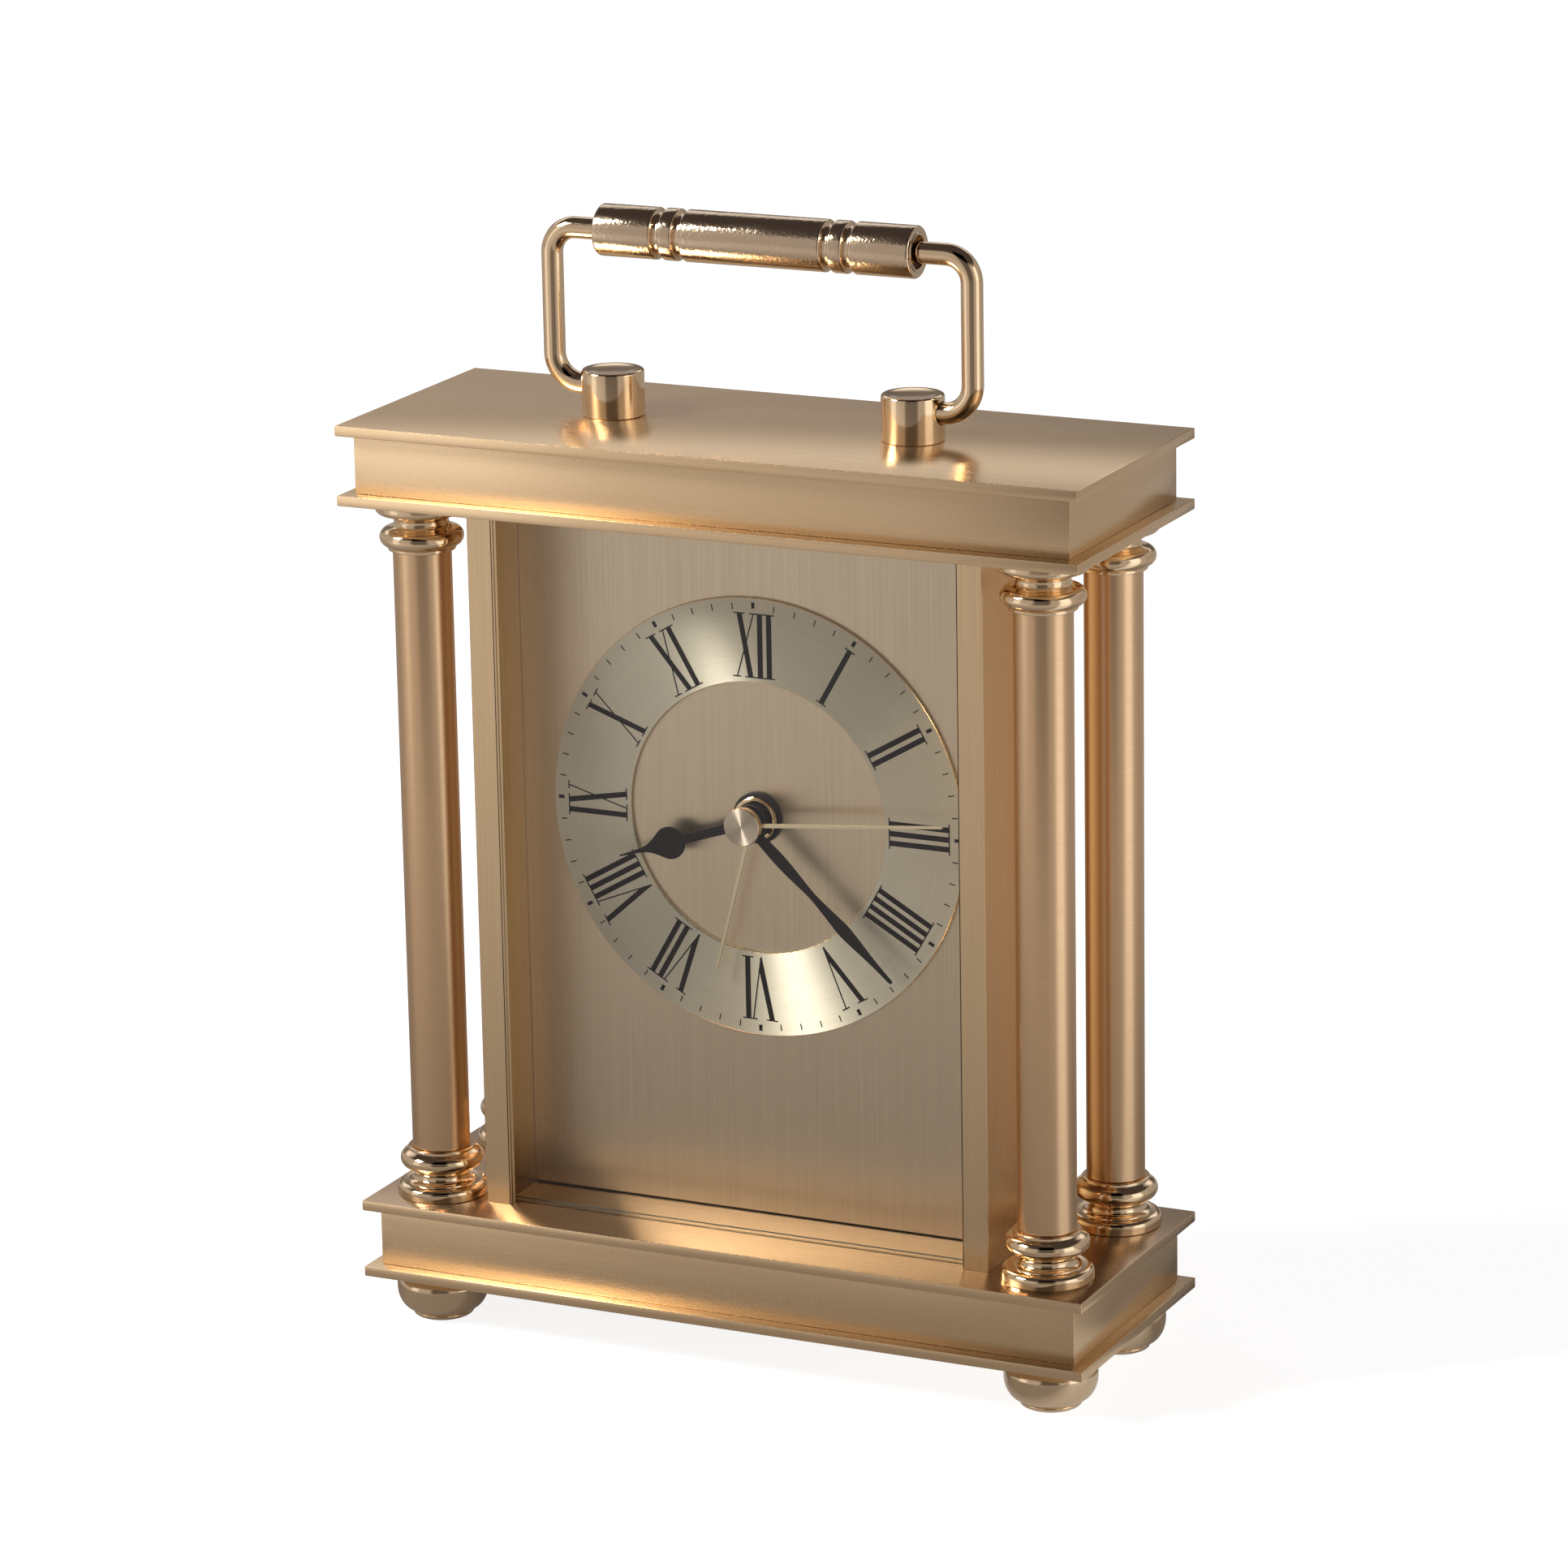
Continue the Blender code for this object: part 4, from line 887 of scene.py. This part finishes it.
def dress_cad_nodes():
    """Materials for the nodes that keep their CAD shape."""
    assign(["dial_plate"], dial_brass)
    assign(["back_panel"], stile_brass)
    assign(["movement_case", "movement_cover"], black_plastic)
    assign(["battery"], battery_jacket())
    assign(["circuit_board"], board())
    assign(["motor_stator"], laminations)
    assign(["motor_coil"], copper)
    assign(["buzzer_disc"], buzzer_brass)
    assign(["tie_rod_" + corner for corner in CORNERS] + ["rotor"], steel)
    mouldings = ["intermediate_wheel", "seconds_wheel", "third_wheel", "minute_wheel", "minute_arbor"]
    mouldings += ["motion_wheel", "hour_wheel", "alarm_wheel", "time_set_knob", "alarm_set_knob", "alarm_switch"]
    assign(mouldings, nylon)


# ---------------------------------------------------------------- studio
def direction(azimuth, elevation):
    """Unit vector; azimuth in degrees from the clock's front, positive to its right."""
    a, e = math.radians(azimuth), math.radians(elevation)
    return Vector((math.sin(a) * math.cos(e), -math.cos(a) * math.cos(e), math.sin(e)))


# Each panel of the studio: azimuth of its middle and its half width, the heights it reaches
# from and to, all in degrees, and how much its light (or, below zero, its shade) adds.
PANELS = (
    (-48, 8, -12, 24, (0.45, 0.46, 0.47)),  # a tall reflector on the left
    (-40, 16, -14, 3, (0.05, 0.05, 0.05)),  # the lit table in front of it
    (84, 14, -85, 30, (0.80, 0.83, 0.85)),  # a tall panel on the right, and the table below it
    (-150, 44, 24, 44, (0.60, 0.62, 0.64)),  # light from behind
    (-154, 34, 6, 20, (-0.28, -0.27, -0.27)),  # a gap below it
    (160, 40, -85, 20, (-0.08, -0.07, -0.07)),  # the room's dark corner
    (-110, 34, -85, -4, (-0.18, -0.17, -0.17)),  # shade on the table, left and behind
    (20, 22, -13, 60, (-0.34, -0.32, -0.31)),  # the dark side, where the camera stands
)
AMBIENT_LOW, AMBIENT_HIGH = (0.46, 0.43, 0.415), (0.06, 0.05, 0.05)
AMBIENT_CHANGE = (28, 42)  # heights between which the low light gives way to the high one
SOFT_AZIMUTH, SOFT_ELEVATION = 6, 4  # half the width of a panel's soft edge
MIDDLE = (0.0, 0.0, 0.09)  # about the clock's middle, in metres
KEY_AZIMUTH, KEY_ELEVATION, KEY_DISTANCE = -56, 38, 1.6
KEY_SIZE, KEY_POWER, KEY_COLOUR = (0.5, 0.44), 22.0, (1.0, 0.98, 0.95)
TABLE_REACH = 6.0
FLOOR_LIFT = 0.86  # glow that brings the table top up to paper white for the camera
FLOOR_SEEN = (0.5, 0.5, 0.5, 1.0)  # the table as the camera sees it
FLOOR_QUIET = (0.14, 0.13, 0.125, 1.0)  # and as the metal mirrors it
SHADE_NEAR, SHADE_FAR = (0.05, 0.32), (0.35, 0.86)  # metres from under the clock, and the light's share there
CAMERA_PLACE = (0.44068, -0.91164, 0.37380)
CAMERA_AZIMUTH, CAMERA_ELEVATION, CAMERA_ROLL = 25.66, 15.56, -1.02
CAMERA_SENSOR, CAMERA_LENS = 36.0, 151.76


class Studio:
    """Builds the studio's light as a colour by direction, in a world's or the floor's nodes."""

    def __init__(self, tree):
        self.tree = tree

    def node(self, kind, inputs=(), **settings):
        made = self.tree.nodes.new("ShaderNode" + kind)
        for key, value in settings.items():
            setattr(made, key, value)
        for key, value in dict(inputs).items():
            if isinstance(value, bpy.types.NodeSocket):
                self.tree.links.new(value, made.inputs[key])
            else:
                made.inputs[key].default_value = value
        return made

    def step(self, value, low, high):
        return self.node("MapRange", {0: value, 1: low, 2: high}, interpolation_type="SMOOTHSTEP").outputs[0]

    def add(self, a, b):
        return self.node("VectorMath", {0: a, 1: b}, operation="ADD").outputs[0]

    def tint(self, colour, factor):
        return self.node("VectorMath", {0: colour, "Scale": factor}, operation="SCALE").outputs[0]

    def product(self, a, b):
        return self.node("Math", {0: a, 1: b}, operation="MULTIPLY").outputs[0]

    def light(self, ray):
        height = self.node("SeparateXYZ", {0: ray}).outputs["Z"]
        level = self.node("VectorMath", {0: ray, 1: (1.0, 1.0, 0.0)}, operation="MULTIPLY").outputs[0]
        level = self.node("VectorMath", {0: level}, operation="NORMALIZE").outputs[0]
        sine = [math.sin(math.radians(angle)) for angle in AMBIENT_CHANGE]
        total = self.tint(AMBIENT_LOW, self.step(height, sine[1], sine[0]))
        total = self.add(total, self.tint(AMBIENT_HIGH, self.step(height, sine[0], sine[1])))
        for azimuth, half, low, high, colour in PANELS:
            aim = self.node("VectorMath", {0: level, 1: direction(azimuth, 0)}, operation="DOT_PRODUCT")
            edges = [math.cos(math.radians(half + side * SOFT_AZIMUTH)) for side in (1, -1)]
            inside = self.step(aim.outputs["Value"], *edges)
            for edge, side in ((low, 1), (high, -1)):
                ends = [math.sin(math.radians(edge + turn * side * SOFT_ELEVATION)) for turn in (-1, 1)]
                inside = self.product(inside, self.step(height, *ends))
            total = self.add(total, self.tint(colour, inside))
        return self.node("VectorMath", {0: total, 1: (0.0, 0.0, 0.0)}, operation="MAXIMUM").outputs[0]


def build_world():
    """The studio as the metal mirrors it, and plain white behind the clock for the camera."""
    world = bpy.data.worlds.new("studio")
    bpy.context.scene.world = world
    world.use_nodes = True
    tree = world.node_tree
    tree.nodes.clear()
    studio = Studio(tree)
    ray = studio.node("TexCoord").outputs["Generated"]
    seen = studio.node("Background", {0: studio.light(ray), 1: 1.0})
    white = studio.node("Background", {0: (1.0, 1.0, 1.0, 1.0), 1: 1.0})
    rays = studio.node("LightPath")
    mix = studio.node("MixShader", {0: rays.outputs["Is Camera Ray"], 1: seen.outputs[0], 2: white.outputs[0]})
    tree.links.new(mix.outputs[0], studio.node("OutputWorld").inputs[0])


def build_floor():
    """A plain pale table top: near white to look at, quieter in the metal's reflections."""
    mesh = bpy.data.meshes.new("floor")
    corners = [(x * TABLE_REACH, y * TABLE_REACH, 0) for x, y in ((-1, -1), (1, -1), (1, 1), (-1, 1))]
    mesh.from_pydata(corners, [], [(0, 1, 2, 3)])
    floor = bpy.data.objects.new("floor", mesh)
    bpy.context.scene.collection.objects.link(floor)
    material = bpy.data.materials.new("floor")
    material.use_nodes = True
    tree = material.node_tree
    tree.nodes.clear()
    studio = Studio(tree)
    pale = studio.node("BsdfDiffuse", {0: FLOOR_SEEN})
    lift = studio.node("Emission", {0: (1.0, 1.0, 1.0, 1.0), 1: FLOOR_LIFT})
    seen = studio.node("AddShader", {0: pale.outputs[0], 1: lift.outputs[0]})
    place = studio.node("NewGeometry").outputs["Position"]
    ray = studio.node("VectorMath", {0: place, 1: MIDDLE}, operation="SUBTRACT").outputs[0]
    ray = studio.node("VectorMath", {0: ray}, operation="NORMALIZE").outputs[0]
    away = studio.node("VectorMath", {0: place}, operation="LENGTH").outputs["Value"]
    # In the metal's reflections the table glows with the studio's light, as painted light, and less near the clock,
    # as painted shade.
    (near, dim), (far, bright) = SHADE_NEAR, SHADE_FAR
    spread = studio.node("MapRange", {0: away, 1: near, 2: far, 3: dim, 4: bright}).outputs[0]
    glow = studio.node("Emission", {0: studio.light(ray), 1: spread})
    dull = studio.node("BsdfDiffuse", {0: FLOOR_QUIET})
    quiet = studio.node("AddShader", {0: glow.outputs[0], 1: dull.outputs[0]})
    rays = studio.node("LightPath")
    mix = studio.node("MixShader", {0: rays.outputs["Is Camera Ray"], 1: quiet.outputs[0], 2: seen.outputs[0]})
    tree.links.new(mix.outputs[0], studio.node("OutputMaterial").inputs[0])
    mesh.materials.append(material)


def build_lamp():
    """The one lamp, high on the left: it throws the shadows and the ring's fans of light."""
    light = bpy.data.lights.new("key", "AREA")
    light.shape = "RECTANGLE"
    light.size, light.size_y = KEY_SIZE
    light.energy = KEY_POWER
    light.color = KEY_COLOUR
    lamp = bpy.data.objects.new("key", light)
    lamp.location = Vector(MIDDLE) + direction(KEY_AZIMUTH, KEY_ELEVATION) * KEY_DISTANCE
    lamp.rotation_euler = (Vector(MIDDLE) - lamp.location).to_track_quat("-Z", "Y").to_euler()
    lamp.visible_camera = False
    bpy.context.scene.collection.objects.link(lamp)


def build_camera():
    """A long lens from the front right, a little above, with a slight roll."""
    back = direction(CAMERA_AZIMUTH, CAMERA_ELEVATION)
    roll = math.radians(CAMERA_ROLL)
    across = (-back).cross(Vector((0.0, 0.0, 1.0))).normalized()
    up = across.cross(-back)
    x = math.cos(roll) * across + math.sin(roll) * up
    y = -math.sin(roll) * across + math.cos(roll) * up
    data = bpy.data.cameras.new("camera")
    data.sensor_width = CAMERA_SENSOR
    data.lens = CAMERA_LENS
    data.clip_start, data.clip_end = 0.05, 20.0
    camera = bpy.data.objects.new("camera", data)
    turn = Matrix((x, y, back)).transposed().to_4x4()
    camera.matrix_world = Matrix.Translation(CAMERA_PLACE) @ turn
    bpy.context.scene.collection.objects.link(camera)
    bpy.context.scene.camera = camera


build_slabs()
build_feet()
build_columns()
build_case()
build_dial()
build_hub()
build_hands()
build_handle()
dress_cad_nodes()
build_world()
build_floor()
build_lamp()
build_camera()
bpy.context.scene.view_settings.view_transform = "Standard"
